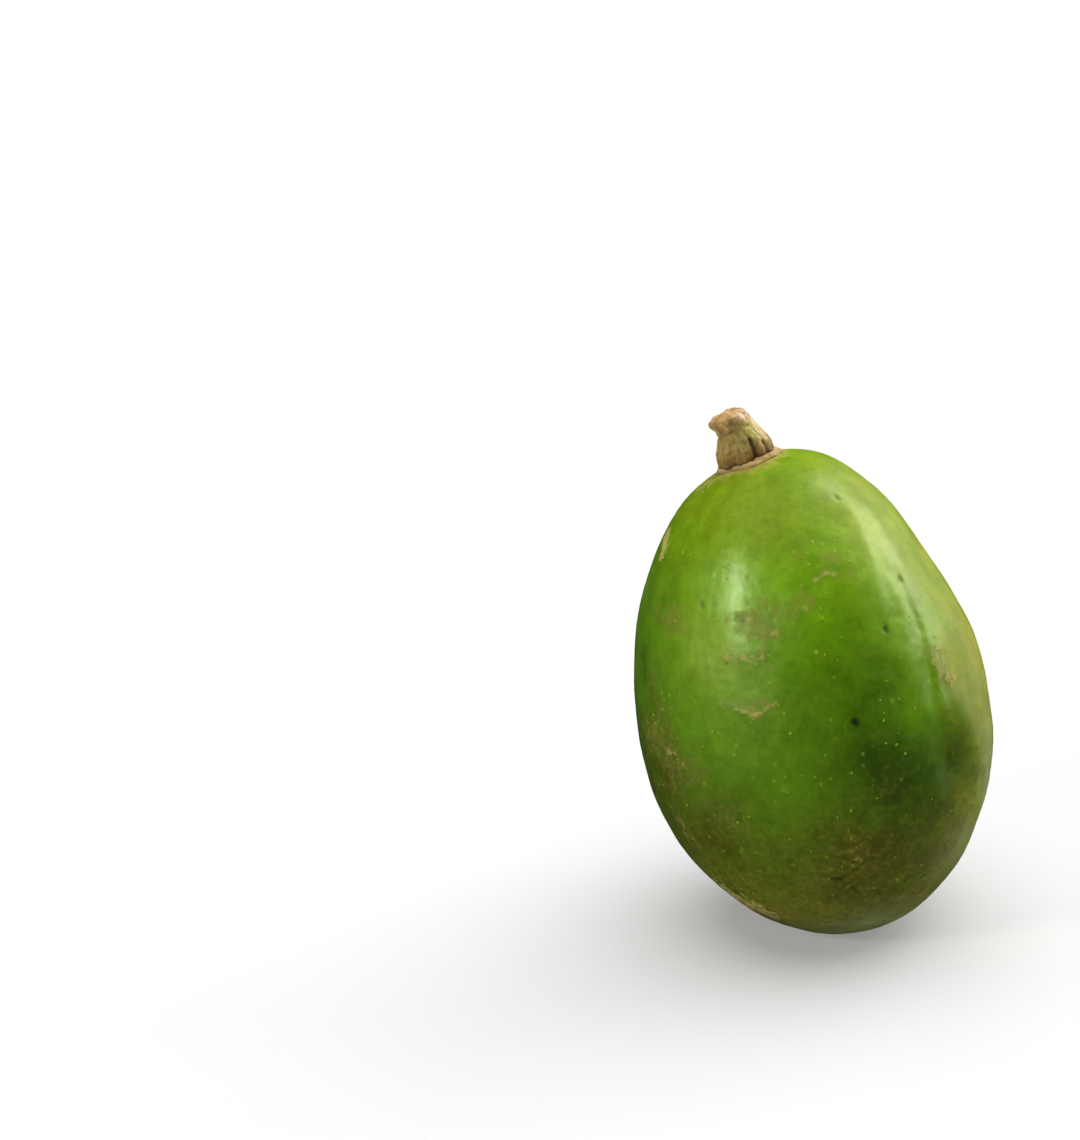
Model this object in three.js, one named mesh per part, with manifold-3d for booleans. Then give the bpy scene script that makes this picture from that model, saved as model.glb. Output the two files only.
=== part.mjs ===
// Hog plum: one green, unripe fruit with the stub of its stalk, standing on its blunt blossom end.
//
// Millimetres, +Z up. The origin is the middle of the small flat spot that the fruit rests on.
// The skin is a formula of two numbers. The level runs along the fruit's own axis, from -1 at the
// blossom end to +1 at the stalk end. The azimuth goes round that axis, from +X towards +Y.

import * as THREE from 'three';
import { mergeVertices } from 'three/addons/utils/BufferGeometryUtils.js';
import Module from 'manifold-3d';

const wasm = await Module();
wasm.setup();

const radians = THREE.MathUtils.degToRad;
const { smoothstep } = THREE.MathUtils;

// ---------------------------------------------------------------- driving dimensions

// The fruit's body.
const BODY_RADIUS = 23.9;
const BODY_HALF_LENGTH = 33.2;

// Shares of the radius: each is multiplied by a power of the level, so that the lower half is the
// fuller one and the shoulder under the stalk stays broad.
const PROFILE = { linear: -0.094, square: -0.035, cube: 0.142 };

// The widest ring sits a little to the +X side above the middle.
const SWAY = { linear: 0.04, cube: -0.03 };

// The body is slightly deeper than it is wide, and its blossom end is blunt.
const OVAL = -0.02;
const BLUNT_END = 0.1;

// The crown under the stalk slopes up towards +X, as a rise for each millimetre. The stalk grew
// just off the pole.
const CROWN_SLOPE = 0.12;
const CROWN_CENTRE = { x: -0.2, y: 0.5 };

// The +X shoulder is a little flat, as if pressed by a neighbour.
const FLAT_SHOULDER = { depth: 1.0, level: 0.48, reach: 0.28, azimuth: 0, spread: 0.6 };

// Furrows run from the shoulder towards the blossom end. Depths, widths and lips are in
// millimetres. The first is the deep one, which opens into a hollow below the middle.
const FURROWS = [
  {
    azimuth: radians(-47),
    drift: radians(6),
    top: 0.4,
    bottom: -0.5,
    depth: 0.6,
    width: 1.8,
    lip: 0.15,
    hollow: { level: -0.22, depth: 1.1, radius: 3.8 },
  },
  { azimuth: radians(52), drift: radians(-5), top: 0.5, bottom: -0.6, depth: 0.45, width: 3.2, lip: 0.15 },
  { azimuth: radians(128), drift: radians(4), top: 0.6, bottom: -0.4, depth: 0.35, width: 3.6, lip: 0.1 },
];

// How the fruit stands: its stalk end leans towards -X and a little towards +Y.
const LEAN_SIDE = radians(14.6);
const LEAN_BACK = radians(5);

// The flesh settles on a flat spot this far above the body's lowest point.
const RESTING_CUT = 1.8;

// The stalk stub, from its flared foot to its broken top.
const STALK_HEIGHT = 5.8;
const STALK_FOOT_RADIUS = 3.75;
const STALK_NECK_RADIUS = 2.5;
const STALK_CAP_RADIUS = 2.65;
const STALK_OVAL = 0.06;
const STALK_FLUTES = 6;
const STALK_FLUTE_DEPTH = 0.08;
const STALK_START_SLOPE = 0.04;
const STALK_BEND = -0.026;

// The calyx collar, a thin disc with five blunt lobes, wider along X than along Y.
const COLLAR_RADIUS = 4.3;
const COLLAR_OVAL = 0.06;
const COLLAR_MIDDLE_THICKNESS = 0.5;
const COLLAR_EDGE_THICKNESS = 0.42;
const COLLAR_LOBES = 5;
const COLLAR_LOBE_SHARE = 0.035;

// Pieces that grew together keep this much room between their solids.
const GAP = 0.3;

// Fineness of the meshes.
const BODY_SEGMENTS = 78;
const BODY_RINGS = 46;
const FURROW_CROWDING = 0.45;
const STALK_SEGMENTS = 36;
const COLLAR_SEGMENTS = 40;

// ---------------------------------------------------------------- the skin's formula

const bell = (distance, reach) => Math.exp(-((distance / reach) ** 2));

const turnBetween = (a, b) => Math.atan2(Math.sin(a - b), Math.cos(a - b));

// How far the skin stands out beyond the plain body at a furrow: negative in its bed.
function furrowRelief(furrow, level, azimuth, radius) {
  const bed = furrow.azimuth + furrow.drift * smoothstep(level, 0.1, 0.6);
  const side = turnBetween(azimuth, bed) * radius;
  const strength = smoothstep(furrow.top - level, 0, 0.35) * smoothstep(level - furrow.bottom, 0, 0.35);
  const lipReach = 1.2 * furrow.width;
  const lips = bell(side - 2 * furrow.width, lipReach) + bell(side + 2 * furrow.width, lipReach);
  const relief = strength * (furrow.lip * lips - furrow.depth * bell(side, furrow.width));
  if (!furrow.hollow) {
    return relief;
  }
  const along = (level - furrow.hollow.level) * BODY_HALF_LENGTH;
  const inHollow = bell(Math.hypot(side, along), furrow.hollow.radius);
  return relief * (1 - inHollow) - furrow.hollow.depth * inHollow;
}

// A point of the skin in the fruit's own frame, where +Z is the axis.
function skinPoint(level, azimuth) {
  const round = Math.sqrt(Math.max(0, 1 - level ** 2));
  const profile = 1 + PROFILE.linear * level + PROFILE.square * level ** 2 + PROFILE.cube * level ** 3;
  const sway = (SWAY.linear * level + SWAY.cube * level ** 3) * Math.cos(azimuth);
  const oval = OVAL * Math.cos(2 * azimuth);
  const blunt = 1 + BLUNT_END * Math.max(0, -level) ** 4;
  let radius = BODY_RADIUS * round * blunt * (profile + sway + oval);
  for (const furrow of FURROWS) {
    radius += furrowRelief(furrow, level, azimuth, BODY_RADIUS * round);
  }
  const pressed = bell(level - FLAT_SHOULDER.level, FLAT_SHOULDER.reach);
  radius -= FLAT_SHOULDER.depth * pressed * bell(turnBetween(azimuth, FLAT_SHOULDER.azimuth), FLAT_SHOULDER.spread);
  const x = radius * Math.cos(azimuth);
  const y = radius * Math.sin(azimuth);
  const crown = CROWN_SLOPE * x * Math.max(0, level) ** 4;
  return new THREE.Vector3(x, y, BODY_HALF_LENGTH * level + crown);
}

// How far the crown has fallen at a distance from the pole.
const crownDrop = (distance) => BODY_HALF_LENGTH * (1 - Math.sqrt(1 - (distance / BODY_RADIUS) ** 2));

// ---------------------------------------------------------------- helpers for meshes

// Merges shared vertices, so that only closed, welded faces are left.
function welded(geometry) {
  const bare = new THREE.BufferGeometry();
  bare.setAttribute('position', geometry.getAttribute('position'));
  bare.setIndex(geometry.getIndex());
  return mergeVertices(bare);
}

function toManifold(geometry) {
  const vertProperties = new Float32Array(geometry.getAttribute('position').array);
  const triVerts = new Uint32Array(geometry.getIndex().array);
  return new wasm.Manifold(new wasm.Mesh({ numProp: 3, vertProperties, triVerts }));
}

function fromManifold(manifold) {
  const { vertProperties, triVerts } = manifold.getMesh();
  const geometry = new THREE.BufferGeometry();
  geometry.setAttribute('position', new THREE.BufferAttribute(vertProperties, 3));
  geometry.setIndex(new THREE.BufferAttribute(triVerts, 1));
  geometry.computeVertexNormals();
  return geometry;
}

// Moves each vertex of a geometry to the point that a function gives for it.
function reshape(geometry, move) {
  const positions = geometry.getAttribute('position');
  const point = new THREE.Vector3();
  for (let i = 0; i < positions.count; i += 1) {
    point.fromBufferAttribute(positions, i);
    const moved = move(point);
    positions.setXYZ(i, moved.x, moved.y, moved.z);
  }
  return geometry;
}

// ---------------------------------------------------------------- the fruit

const lean = new THREE.Euler(-LEAN_BACK, -LEAN_SIDE, 0);
const leanMatrix = new THREE.Matrix4().makeRotationFromEuler(lean);

// Segments crowd towards the deep furrow, where the skin bends most.
function bodyGeometry() {
  const ball = new THREE.SphereGeometry(1, BODY_SEGMENTS, BODY_RINGS).rotateX(Math.PI / 2);
  return reshape(ball, (point) => {
    const turn = Math.atan2(point.y, point.x);
    const azimuth = turn - FURROW_CROWDING * Math.sin(turn - FURROWS[0].azimuth);
    return skinPoint(THREE.MathUtils.clamp(point.z, -1, 1), azimuth);
  });
}

// The lowest height that a geometry reaches once it leans.
function lowestWhenLeaning(geometry) {
  const leaning = geometry.clone().applyMatrix4(leanMatrix);
  leaning.computeBoundingBox();
  return leaning.boundingBox.min.z;
}

// Everything above a level height, as a block in the fruit's own leaning frame.
function blockAbove(height) {
  const side = 4 * BODY_HALF_LENGTH;
  const block = new THREE.BoxGeometry(side, side, side).translate(0, 0, height + side / 2);
  return block.applyMatrix4(leanMatrix.clone().invert());
}

// The middle of the flat spot, in the upright frame.
function flatSpotCentre(geometry, height) {
  const leaning = geometry.clone().applyMatrix4(leanMatrix);
  const positions = leaning.getAttribute('position');
  const spot = new THREE.Box3();
  const point = new THREE.Vector3();
  for (let i = 0; i < positions.count; i += 1) {
    point.fromBufferAttribute(positions, i);
    if (Math.abs(point.z - height) < 0.01) {
      spot.expandByPoint(point);
    }
  }
  return spot.getCenter(new THREE.Vector3());
}

const body = welded(bodyGeometry());
const restingHeight = lowestWhenLeaning(body) + RESTING_CUT;
const fruitGeometry = fromManifold(toManifold(body).intersect(toManifold(welded(blockAbove(restingHeight)))));
const restingCentre = flatSpotCentre(fruitGeometry, restingHeight);

// ---------------------------------------------------------------- the calyx collar

// A height on the collar's top, above the pole. It follows the crown and thins towards the edge.
function collarTop(distance) {
  const thinning = (COLLAR_MIDDLE_THICKNESS - COLLAR_EDGE_THICKNESS) * (distance / COLLAR_RADIUS) ** 2;
  return GAP + COLLAR_MIDDLE_THICKNESS - thinning - crownDrop(distance);
}

function collarGeometry() {
  const steps = 5;
  const inner = 0.94 * COLLAR_RADIUS;
  const profile = [];
  for (let i = 0; i <= steps; i += 1) {
    const distance = (inner * i) / steps;
    profile.push(new THREE.Vector2(distance, GAP - crownDrop(distance)));
  }
  const middle = GAP - crownDrop(COLLAR_RADIUS) + COLLAR_EDGE_THICKNESS / 2;
  profile.push(new THREE.Vector2(COLLAR_RADIUS, middle));
  for (let i = steps; i >= 0; i -= 1) {
    const distance = (inner * i) / steps;
    profile.push(new THREE.Vector2(distance, collarTop(distance)));
  }
  const disc = new THREE.LatheGeometry(profile, COLLAR_SEGMENTS).rotateX(Math.PI / 2);
  return reshape(disc, (point) => {
    const azimuth = Math.atan2(point.y, point.x);
    const outward = (Math.hypot(point.x, point.y) / COLLAR_RADIUS) ** 2;
    const lobes = COLLAR_LOBE_SHARE * Math.cos(COLLAR_LOBES * azimuth + 0.6);
    const oval = COLLAR_OVAL * Math.cos(2 * azimuth);
    const swell = 1 + outward * (lobes + oval);
    return new THREE.Vector3(point.x * swell, point.y * swell, point.z);
  });
}

// ---------------------------------------------------------------- the stalk

// The height above the pole where the middle of the stalk's foot begins.
const STALK_BOTTOM = collarTop(0) + GAP;

// The foot follows the collar. Above it, each stop is a share of the stalk's height and the radius
// there.
function stalkProfile() {
  const stops = [
    [0.05, 1.0 * STALK_FOOT_RADIUS],
    [0.18, 0.91 * STALK_FOOT_RADIUS],
    [0.36, 0.84 * STALK_FOOT_RADIUS],
    [0.54, 1.06 * STALK_NECK_RADIUS],
    [0.64, STALK_NECK_RADIUS],
    [0.7, 0.98 * STALK_CAP_RADIUS],
    [0.8, STALK_CAP_RADIUS],
    [0.91, 0.85 * STALK_CAP_RADIUS],
    [0.98, 0.5 * STALK_CAP_RADIUS],
  ];
  const profile = [];
  for (const share of [0, 0.35, 0.7, 1]) {
    const distance = share * STALK_FOOT_RADIUS;
    profile.push(new THREE.Vector2(distance, collarTop(distance) + GAP));
  }
  for (const [share, radius] of stops) {
    profile.push(new THREE.Vector2(radius, STALK_BOTTOM + share * STALK_HEIGHT));
  }
  profile.push(new THREE.Vector2(0, STALK_BOTTOM + STALK_HEIGHT));
  return profile;
}

// The flutes are deepest at the foot, the top is lumpy, and the whole stub bends as it rises.
function stalkGeometry() {
  const turned = new THREE.LatheGeometry(stalkProfile(), STALK_SEGMENTS).rotateX(Math.PI / 2);
  return reshape(turned, (point) => {
    const azimuth = Math.atan2(point.y, point.x);
    const height = Math.max(0, point.z - STALK_BOTTOM);
    const share = height / STALK_HEIGHT;
    const flutes = STALK_FLUTE_DEPTH * (1 - 0.7 * share) * Math.cos(STALK_FLUTES * azimuth + 0.5);
    const lumps = 0.06 * smoothstep(share, 0.6, 0.8) * Math.cos(3 * azimuth + 1);
    const oval = STALK_OVAL * (1 - share) * Math.cos(2 * azimuth);
    const swell = 1 + flutes + lumps + oval;
    const bend = STALK_START_SLOPE * height + STALK_BEND * height ** 2;
    return new THREE.Vector3(point.x * swell + bend, point.y * swell, point.z);
  });
}

// ---------------------------------------------------------------- the assembled plum

function piece(name, geometry, colour, roughness) {
  const material = new THREE.MeshStandardMaterial({ color: colour, roughness, metalness: 0 });
  const mesh = new THREE.Mesh(geometry, material);
  mesh.name = name;
  return mesh;
}

// The crown's own frame: beside the pole, square to the sloping skin.
const crown = new THREE.Group();
crown.position.set(CROWN_CENTRE.x, CROWN_CENTRE.y, BODY_HALF_LENGTH);
crown.rotation.y = -Math.atan(CROWN_SLOPE);
crown.add(piece('calyx_collar', welded(collarGeometry()), 0x9a7c4a, 0.9));
crown.add(piece('stalk', welded(stalkGeometry()), 0x8a7b45, 0.85));

const leaningFruit = new THREE.Group();
leaningFruit.rotation.copy(lean);
leaningFruit.position.set(-restingCentre.x, -restingCentre.y, -restingHeight);
leaningFruit.add(piece('fruit', fruitGeometry, 0x5f8f17, 0.4), crown);

const plum = new THREE.Group();
plum.add(leaningFruit);

export default plum;
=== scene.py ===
"""Hog plum: one green, unripe fruit with its stalk stub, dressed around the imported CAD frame.

The fruit stands on its blossom end and leans to one side. Its skin is a formula of a level, which
runs along the fruit's own axis from -1 at the blossom end to +1 at the stalk end, and an azimuth,
which goes round that axis from +X towards +Y. Sizes are in millimetres and angles in degrees until
a mesh is placed. Finished meshes are in metres, in the frame of the CAD model.
"""

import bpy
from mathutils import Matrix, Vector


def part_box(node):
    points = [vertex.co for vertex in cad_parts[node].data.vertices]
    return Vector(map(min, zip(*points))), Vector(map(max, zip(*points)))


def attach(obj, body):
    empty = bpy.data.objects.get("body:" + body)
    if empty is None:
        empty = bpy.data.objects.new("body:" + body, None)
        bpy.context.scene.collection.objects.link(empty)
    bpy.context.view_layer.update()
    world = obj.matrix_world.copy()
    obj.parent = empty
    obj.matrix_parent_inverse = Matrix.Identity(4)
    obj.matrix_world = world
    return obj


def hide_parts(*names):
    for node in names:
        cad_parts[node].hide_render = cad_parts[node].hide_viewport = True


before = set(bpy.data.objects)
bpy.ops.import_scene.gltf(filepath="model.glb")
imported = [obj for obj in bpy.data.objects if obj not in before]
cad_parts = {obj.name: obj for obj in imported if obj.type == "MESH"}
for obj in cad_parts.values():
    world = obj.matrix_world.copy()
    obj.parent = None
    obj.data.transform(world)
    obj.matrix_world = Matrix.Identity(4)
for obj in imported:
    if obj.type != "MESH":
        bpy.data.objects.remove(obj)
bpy.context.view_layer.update()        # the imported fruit, calyx collar and stalk, which these pieces stand for

import logging
import math
from dataclasses import dataclass, field
from enum import Enum
from typing import Any, Sequence

import bpy
import numpy as np
from mathutils import Matrix, Vector

logging.basicConfig(level=logging.INFO, format="%(name)s: %(message)s")
LOG = logging.getLogger("hog_plum")

MM = 0.001
BODY = "root"
TINY = 1e-12
NOISE_MIDDLE = (0.3, 0.7)    # the part of its range that a noise mostly keeps to


# ---------------------------------------------------------------- names and small helpers


class Slot(Enum):
    """The record's material slots."""

    SKIN = "skin"
    CALYX = "corky_calyx"
    STALK = "woody_stalk"


class Trace(Enum):
    """What a mark leaves on the skin. Each has an attribute of the same name on the mesh."""

    CORK = "cork"
    RUSSET = "russet"
    PIT = "pit"


class Tint(Enum):
    """A shift of the peel's green: the deep one is partly painted shade, the bright one partly painted light,
    and the pale grey-green one a painted sheen. The value is the name of its attribute on the skin.
    """

    YELLOW = "yellow"
    DEEP_AND_PAINTED_SHADE = "deep"
    BRIGHT_AND_PAINTED_LIGHT = "bright_and_painted_light"
    OLIVE = "olive"
    BLOOM = "bloom"


def linear(hex_colour: str) -> tuple[float, float, float, float]:
    """Turns an sRGB colour into the linear values that a shader socket takes.

    Args:
        hex_colour: Six hex digits after a hash sign.

    Returns:
        Linear red, green and blue, and an alpha of one.
    """
    shares = [int(hex_colour[i : i + 2], 16) / 255 for i in (1, 3, 5)]
    red, green, blue = [s / 12.92 if s <= 0.04045 else ((s + 0.055) / 1.055) ** 2.4 for s in shares]
    return red, green, blue, 1.0


def per_mm(size: float) -> float:
    """Gives a texture's scale in Object coordinates, so that its features are about size mm wide."""
    return 1.0 / (size * MM)


def add_node(tree: Any, kind: str, inputs: dict | None = None, out: Any = 0, **settings: Any) -> Any:
    """Adds one node to a tree with its settings and links.

    Args:
        tree: The shader or geometry node tree.
        kind: The node's type name.
        inputs: Socket name or number to a value, or to an output socket that is linked to it.
        out: Name or number of the output socket to return, or None for the node itself.
        settings: Attributes of the node. The setting stops gives a colour ramp's places and
            colours.

    Returns:
        The chosen output socket, or the node.
    """
    new = tree.nodes.new(kind)
    stops = settings.pop("stops", None)
    for name, value in settings.items():
        setattr(new, name, value)
    if stops:
        elements = new.color_ramp.elements
        while len(elements) < len(stops):
            elements.new(1.0)
        for element, (place, colour) in zip(elements, stops):
            element.position = place
            element.color = colour
    for key, value in (inputs or {}).items():
        if isinstance(value, bpy.types.NodeSocket):
            tree.links.new(value, new.inputs[key])
        else:
            new.inputs[key].default_value = value
    return new if out is None or not new.outputs else new.outputs[out]


def maths(tree: Any, operation: str, *values: Any, clamp: bool = False) -> Any:
    """Adds a Math node, which does one operation on up to three numbers."""
    return add_node(tree, "ShaderNodeMath", dict(enumerate(values)), operation=operation, use_clamp=clamp)


def spread(
    tree: Any, value: Any, given: tuple[Any, Any] = (0.0, 1.0), wanted: tuple[Any, Any] = (0.0, 1.0)
) -> Any:
    """Adds a Map Range node.

    Args:
        tree: The shader node tree.
        value: The number to spread.
        given: The ends of its own range.
        wanted: The ends of the range that it is taken to, and stops at.

    Returns:
        The new number's socket.
    """
    ends = {"From Min": given[0], "From Max": given[1], "To Min": wanted[0], "To Max": wanted[1]}
    return add_node(tree, "ShaderNodeMapRange", {"Value": value, **ends})


def covered(tree: Any, below: Any, share: Any, above: str) -> Any:
    """Lays a hex colour over what is below it, as far as the share says."""
    inputs = {"Factor": share, "A": below, "B": linear(above)}
    return add_node(tree, "ShaderNodeMix", inputs, out="Result", data_type="RGBA")


def shaded(tree: Any, colour: Any, light: Any) -> Any:
    """Makes a colour lighter or darker by a factor."""
    inputs = {0: colour, "Scale": light}
    return add_node(tree, "ShaderNodeVectorMath", inputs, out="Vector", operation="SCALE")


def ramp(tree: Any, value: Any, *stops: tuple[float, str]) -> Any:
    """Reads a number off a colour ramp, whose stops are places and hex colours."""
    places = [(place, linear(colour)) for place, colour in stops]
    return add_node(tree, "ShaderNodeValToRGB", {"Fac": value}, out="Color", stops=places)


def noise(tree: Any, size: float, detail: float = 2.0) -> Any:
    """Adds a noise that is fixed to the piece, with features about size mm wide.

    Args:
        tree: The shader node tree.
        size: The width of a feature in mm.
        detail: How many finer layers it has.

    Returns:
        The noise's socket.
    """
    place = add_node(tree, "ShaderNodeTexCoord", out="Object")
    inputs = {"Vector": place, "Scale": per_mm(size), "Detail": detail}
    return add_node(tree, "ShaderNodeTexNoise", inputs, out="Fac")


def bumped(tree: Any, height: Any, strength: Any, depth_mm: float) -> Any:
    """Turns a height into a surface normal, for grain too fine for the mesh."""
    inputs = {"Strength": strength, "Distance": depth_mm * MM, "Height": height}
    return add_node(tree, "ShaderNodeBump", inputs, out="Normal")


def read_traces(tree: Any, names: Sequence[str]) -> dict[str, Any]:
    """Reads the mesh's own attributes, and gives each name its socket."""
    return {name: add_node(tree, "ShaderNodeAttribute", out="Fac", attribute_name=name) for name in names}


def empty_material(name: str) -> bpy.types.Material:
    """Makes a material with an empty node tree.

    Args:
        name: The material's name.

    Returns:
        The material.
    """
    made = bpy.data.materials.new(name)
    made.use_nodes = True
    made.node_tree.nodes.clear()
    return made


def finish_off(material: bpy.types.Material, values: dict[str, Any]) -> bpy.types.Material:
    """Ends a material's tree with its surface.

    Args:
        material: A material that empty_material made.
        values: Socket names of the surface to values or output sockets.

    Returns:
        The same material.
    """
    shader = add_node(material.node_tree, "ShaderNodeBsdfPrincipled", values)
    add_node(material.node_tree, "ShaderNodeOutputMaterial", {"Surface": shader})
    return material


def bell(distance: Any, reach: float) -> Any:
    """A smooth hump: one at no distance, and almost none at twice the reach."""
    return np.exp(-((np.asarray(distance) / reach) ** 2))


def ease(value: Any, low: float, high: float) -> Any:
    """Rises smoothly from zero at low to one at high."""
    share = np.clip((np.asarray(value) - low) / (high - low), 0, 1)
    return share * share * (3 - 2 * share)


def turn_between(a: Any, b: Any) -> Any:
    """The signed angle from b to a in radians, within half a turn."""
    return np.arctan2(np.sin(a - b), np.cos(a - b))


def hump(azimuth: np.ndarray, at: float, reach: float) -> np.ndarray:
    """A bell round an azimuth. The azimuths are in radians, and its place and reach in degrees."""
    return bell(turn_between(azimuth, math.radians(at)), math.radians(reach))


def all_round(count: int) -> np.ndarray:
    """Even azimuths for the points of one ring, in radians, from minus half a turn up."""
    return np.linspace(-math.pi, math.pi, count, endpoint=False)


def smooth_stops(stops: Sequence[tuple[float, float]], places: np.ndarray) -> np.ndarray:
    """Reads a smooth curve through stops.

    Args:
        stops: Pairs of a place and a value, in rising order of place.
        places: Where to read the curve.

    Returns:
        The curve's value at each place.
    """
    at, value = np.array(stops, float).T
    slope = np.gradient(value, at)
    i = np.clip(np.searchsorted(at, places) - 1, 0, len(at) - 2)
    step = at[i + 1] - at[i]
    t = np.clip((places - at[i]) / step, 0, 1)
    start = value[i] * (1 + 2 * t) * (1 - t) ** 2 + slope[i] * step * t * (1 - t) ** 2
    return start + value[i + 1] * t * t * (3 - 2 * t) - slope[i + 1] * step * t * t * (1 - t)


@dataclass(frozen=True)
class Ripple:
    """Smooth random relief: a sum of plane waves in random directions.

    Length is the usual distance from crest to crest in mm, and the seed fixes the directions and
    phases. The lengths of the single waves lie between two shares of it.
    """

    height: float
    length: float
    seed: int
    waves: int = 26
    shares: tuple[float, float] = (0.75, 1.4)

    def at(self, points: np.ndarray) -> np.ndarray:
        """Reads the relief.

        Args:
            points: The points, in mm, with shape (..., 3).

        Returns:
            A value for each point, mostly between minus and plus the height.
        """
        draw = np.random.default_rng(self.seed)
        directions = draw.normal(size=(self.waves, 3))
        directions /= np.linalg.norm(directions, axis=1, keepdims=True)
        directions *= 2 * math.pi / (self.length * draw.uniform(*self.shares, size=(self.waves, 1)))
        phases = draw.uniform(0, 2 * math.pi, size=self.waves)
        return self.height * (np.sin(points @ directions.T + phases).sum(axis=-1) / math.sqrt(self.waves))


def path_distance(points: np.ndarray, path: np.ndarray) -> tuple[np.ndarray, np.ndarray]:
    """How far each point is from a path of straight steps.

    Args:
        points: The points, with shape (count, 3).
        path: The path's corners, with shape (corners, 3). One corner is a spot.

    Returns:
        The distance for each point, and the step and share of a step where the path is nearest.
    """
    nearest = np.linalg.norm(points - path[0], axis=1)
    where = np.zeros(len(points))
    for number, (start, end) in enumerate(zip(path[:-1], path[1:])):
        step = end - start
        share = np.clip((points - start) @ step / (step @ step), 0, 1)
        away = np.linalg.norm(points - start - share[:, None] * step, axis=1)
        where = np.where(away < nearest, number + share, where)
        nearest = np.minimum(nearest, away)
    return nearest, where


def closed_loft(name: str, first: np.ndarray, rows: np.ndarray, last: np.ndarray) -> bpy.types.Object:
    """Makes a closed, smooth skin through rings of points, in metres.

    The rings run from first to last, and each goes round towards +Y, so that faces point outwards.

    Args:
        name: The object's name.
        first: The point that closes the first ring.
        rows: The rings, with shape (rings, points, 3).
        last: The point that closes the last ring.

    Returns:
        The new object, linked to the scene. Its vertices are first, the rings in order, and last.
    """
    count, around = rows.shape[:2]
    vertices = np.vstack([first[None], rows.reshape(-1, 3), last[None]])
    here = np.arange(around)
    there = (here + 1) % around
    base = 1 + np.arange(count - 1)[:, None] * around
    corners = (base + here, base + there, base + around + there, base + around + here)
    quads = np.stack(corners, axis=-1).reshape(-1, 4)
    end = 1 + (count - 1) * around
    foot = np.stack([np.zeros(around, int), 1 + there, 1 + here], axis=-1)
    head = np.stack([np.full(around, len(vertices) - 1), end + here, end + there], axis=-1)
    mesh = bpy.data.meshes.new(name)
    mesh.from_pydata(vertices.tolist(), [], foot.tolist() + quads.tolist() + head.tolist())
    mesh.polygons.foreach_set("use_smooth", [True] * len(mesh.polygons))
    mesh.update()
    piece = bpy.data.objects.new(name, mesh)
    bpy.context.collection.objects.link(piece)
    return piece


def store(piece: bpy.types.Object, name: str, values: np.ndarray) -> None:
    """Keeps one number for each vertex of a closed loft as a named attribute.

    Args:
        piece: A piece that closed_loft made.
        name: The attribute's name.
        values: A number for each point of each ring. The end points take their ring's mean.
    """
    full = np.concatenate([[values[0].mean()], values.ravel(), [values[-1].mean()]])
    attribute = piece.data.attributes.new(name, "FLOAT", "POINT")
    attribute.data.foreach_set("value", np.ascontiguousarray(full, dtype=np.float32))


def grid_normals(rows: np.ndarray) -> np.ndarray:
    """Finds which way a skin faces.

    Args:
        rows: Rings of points, which run up and go round towards +Y, with shape (rings, points, 3).

    Returns:
        The outward unit normal at each point.
    """
    along = np.gradient(rows, axis=0)
    around = (np.roll(rows, -1, axis=1) - np.roll(rows, 1, axis=1)) / 2
    normals = np.cross(around, along)
    return normals / (np.linalg.norm(normals, axis=-1, keepdims=True) + TINY)


def grown(name: str, ground: bpy.types.Object, tree: Any, values: dict[str, Any]) -> bpy.types.Object:
    """Runs a geometry node tree on a copy of a piece and keeps the result as a plain mesh.

    Args:
        name: The new piece's name.
        ground: The piece that the tree grows things on.
        tree: The geometry node tree.
        values: Input name to value.

    Returns:
        The new object, with no modifier left on it.
    """
    host = bpy.data.objects.new(name + "_host", ground.data)
    bpy.context.collection.objects.link(host)
    modifier = host.modifiers.new("growth", "NODES")
    modifier.node_group = tree
    for item in tree.interface.items_tree:
        if item.in_out == "INPUT" and item.name in values:
            modifier[item.identifier] = values[item.name]
    depsgraph = bpy.context.evaluated_depsgraph_get()
    mesh = bpy.data.meshes.new_from_object(host.evaluated_get(depsgraph))
    bpy.data.objects.remove(host)
    mesh.name = name
    piece = bpy.data.objects.new(name, mesh)
    bpy.context.collection.objects.link(piece)
    return piece


def settle(piece: bpy.types.Object, slot: Slot, *nodes: str) -> None:
    """Lets a finished piece ride on the fruit, and logs it.

    Args:
        piece: The finished piece.
        slot: The material slot that it belongs to.
        nodes: Names of the CAD nodes that it stands for.
    """
    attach(piece, BODY)
    if nodes:
        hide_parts(*nodes)
    triangles = sum(len(face.vertices) - 2 for face in piece.data.polygons)
    stands_for = ", ".join(nodes) or "no CAD node"
    LOG.info("%s: %d triangles, slot %s, stands for %s", piece.name, triangles, slot.value, stands_for)


# ---------------------------------------------------------------- the skin's own tables


@dataclass(frozen=True)
class Furrow:
    """A long groove with soft lips. The deep one opens into a hollow below the middle.

    Azimuth is its place low down, and drift is how far it turns from there on its way up, both in
    degrees. Top and bottom are levels. Depth, width and lip are in mm, as are the depth and the
    radius of the hollow, which follow its level.
    """

    azimuth: float
    drift: float
    top: float
    bottom: float
    depth: float
    width: float
    lip: float
    hollow: tuple[float, float, float] | None = None


@dataclass(frozen=True)
class Fold:
    """A low crest along a path of (level, azimuth, height) places.

    Heights and reach are in mm. A keen fold turns sharply at its path, and a soft one is round.
    """

    path: tuple[tuple[float, float, float], ...]
    reach: float
    keen: bool = False


@dataclass(frozen=True)
class Brow:
    """A long edge where the skin on the right stands a little proud of the skin on the left.

    The path is of (level, azimuth, height) places, from the top down. Heights in mm are those of
    the edge. It rises over one width in mm, and falls away over another to the right.
    """

    path: tuple[tuple[float, float, float], ...]
    rise: float
    fall: float


@dataclass(frozen=True)
class Mark:
    """One mark on the skin, along a path of (level, azimuth) places.

    Width is half the mark's breadth in mm, strength is how fully it covers the green, and rise is
    how far it stands out in mm, or lies in if it is negative.
    """

    trace: Trace
    path: tuple[tuple[float, float], ...]
    width: float
    strength: float
    rise: float = 0.0


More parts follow.
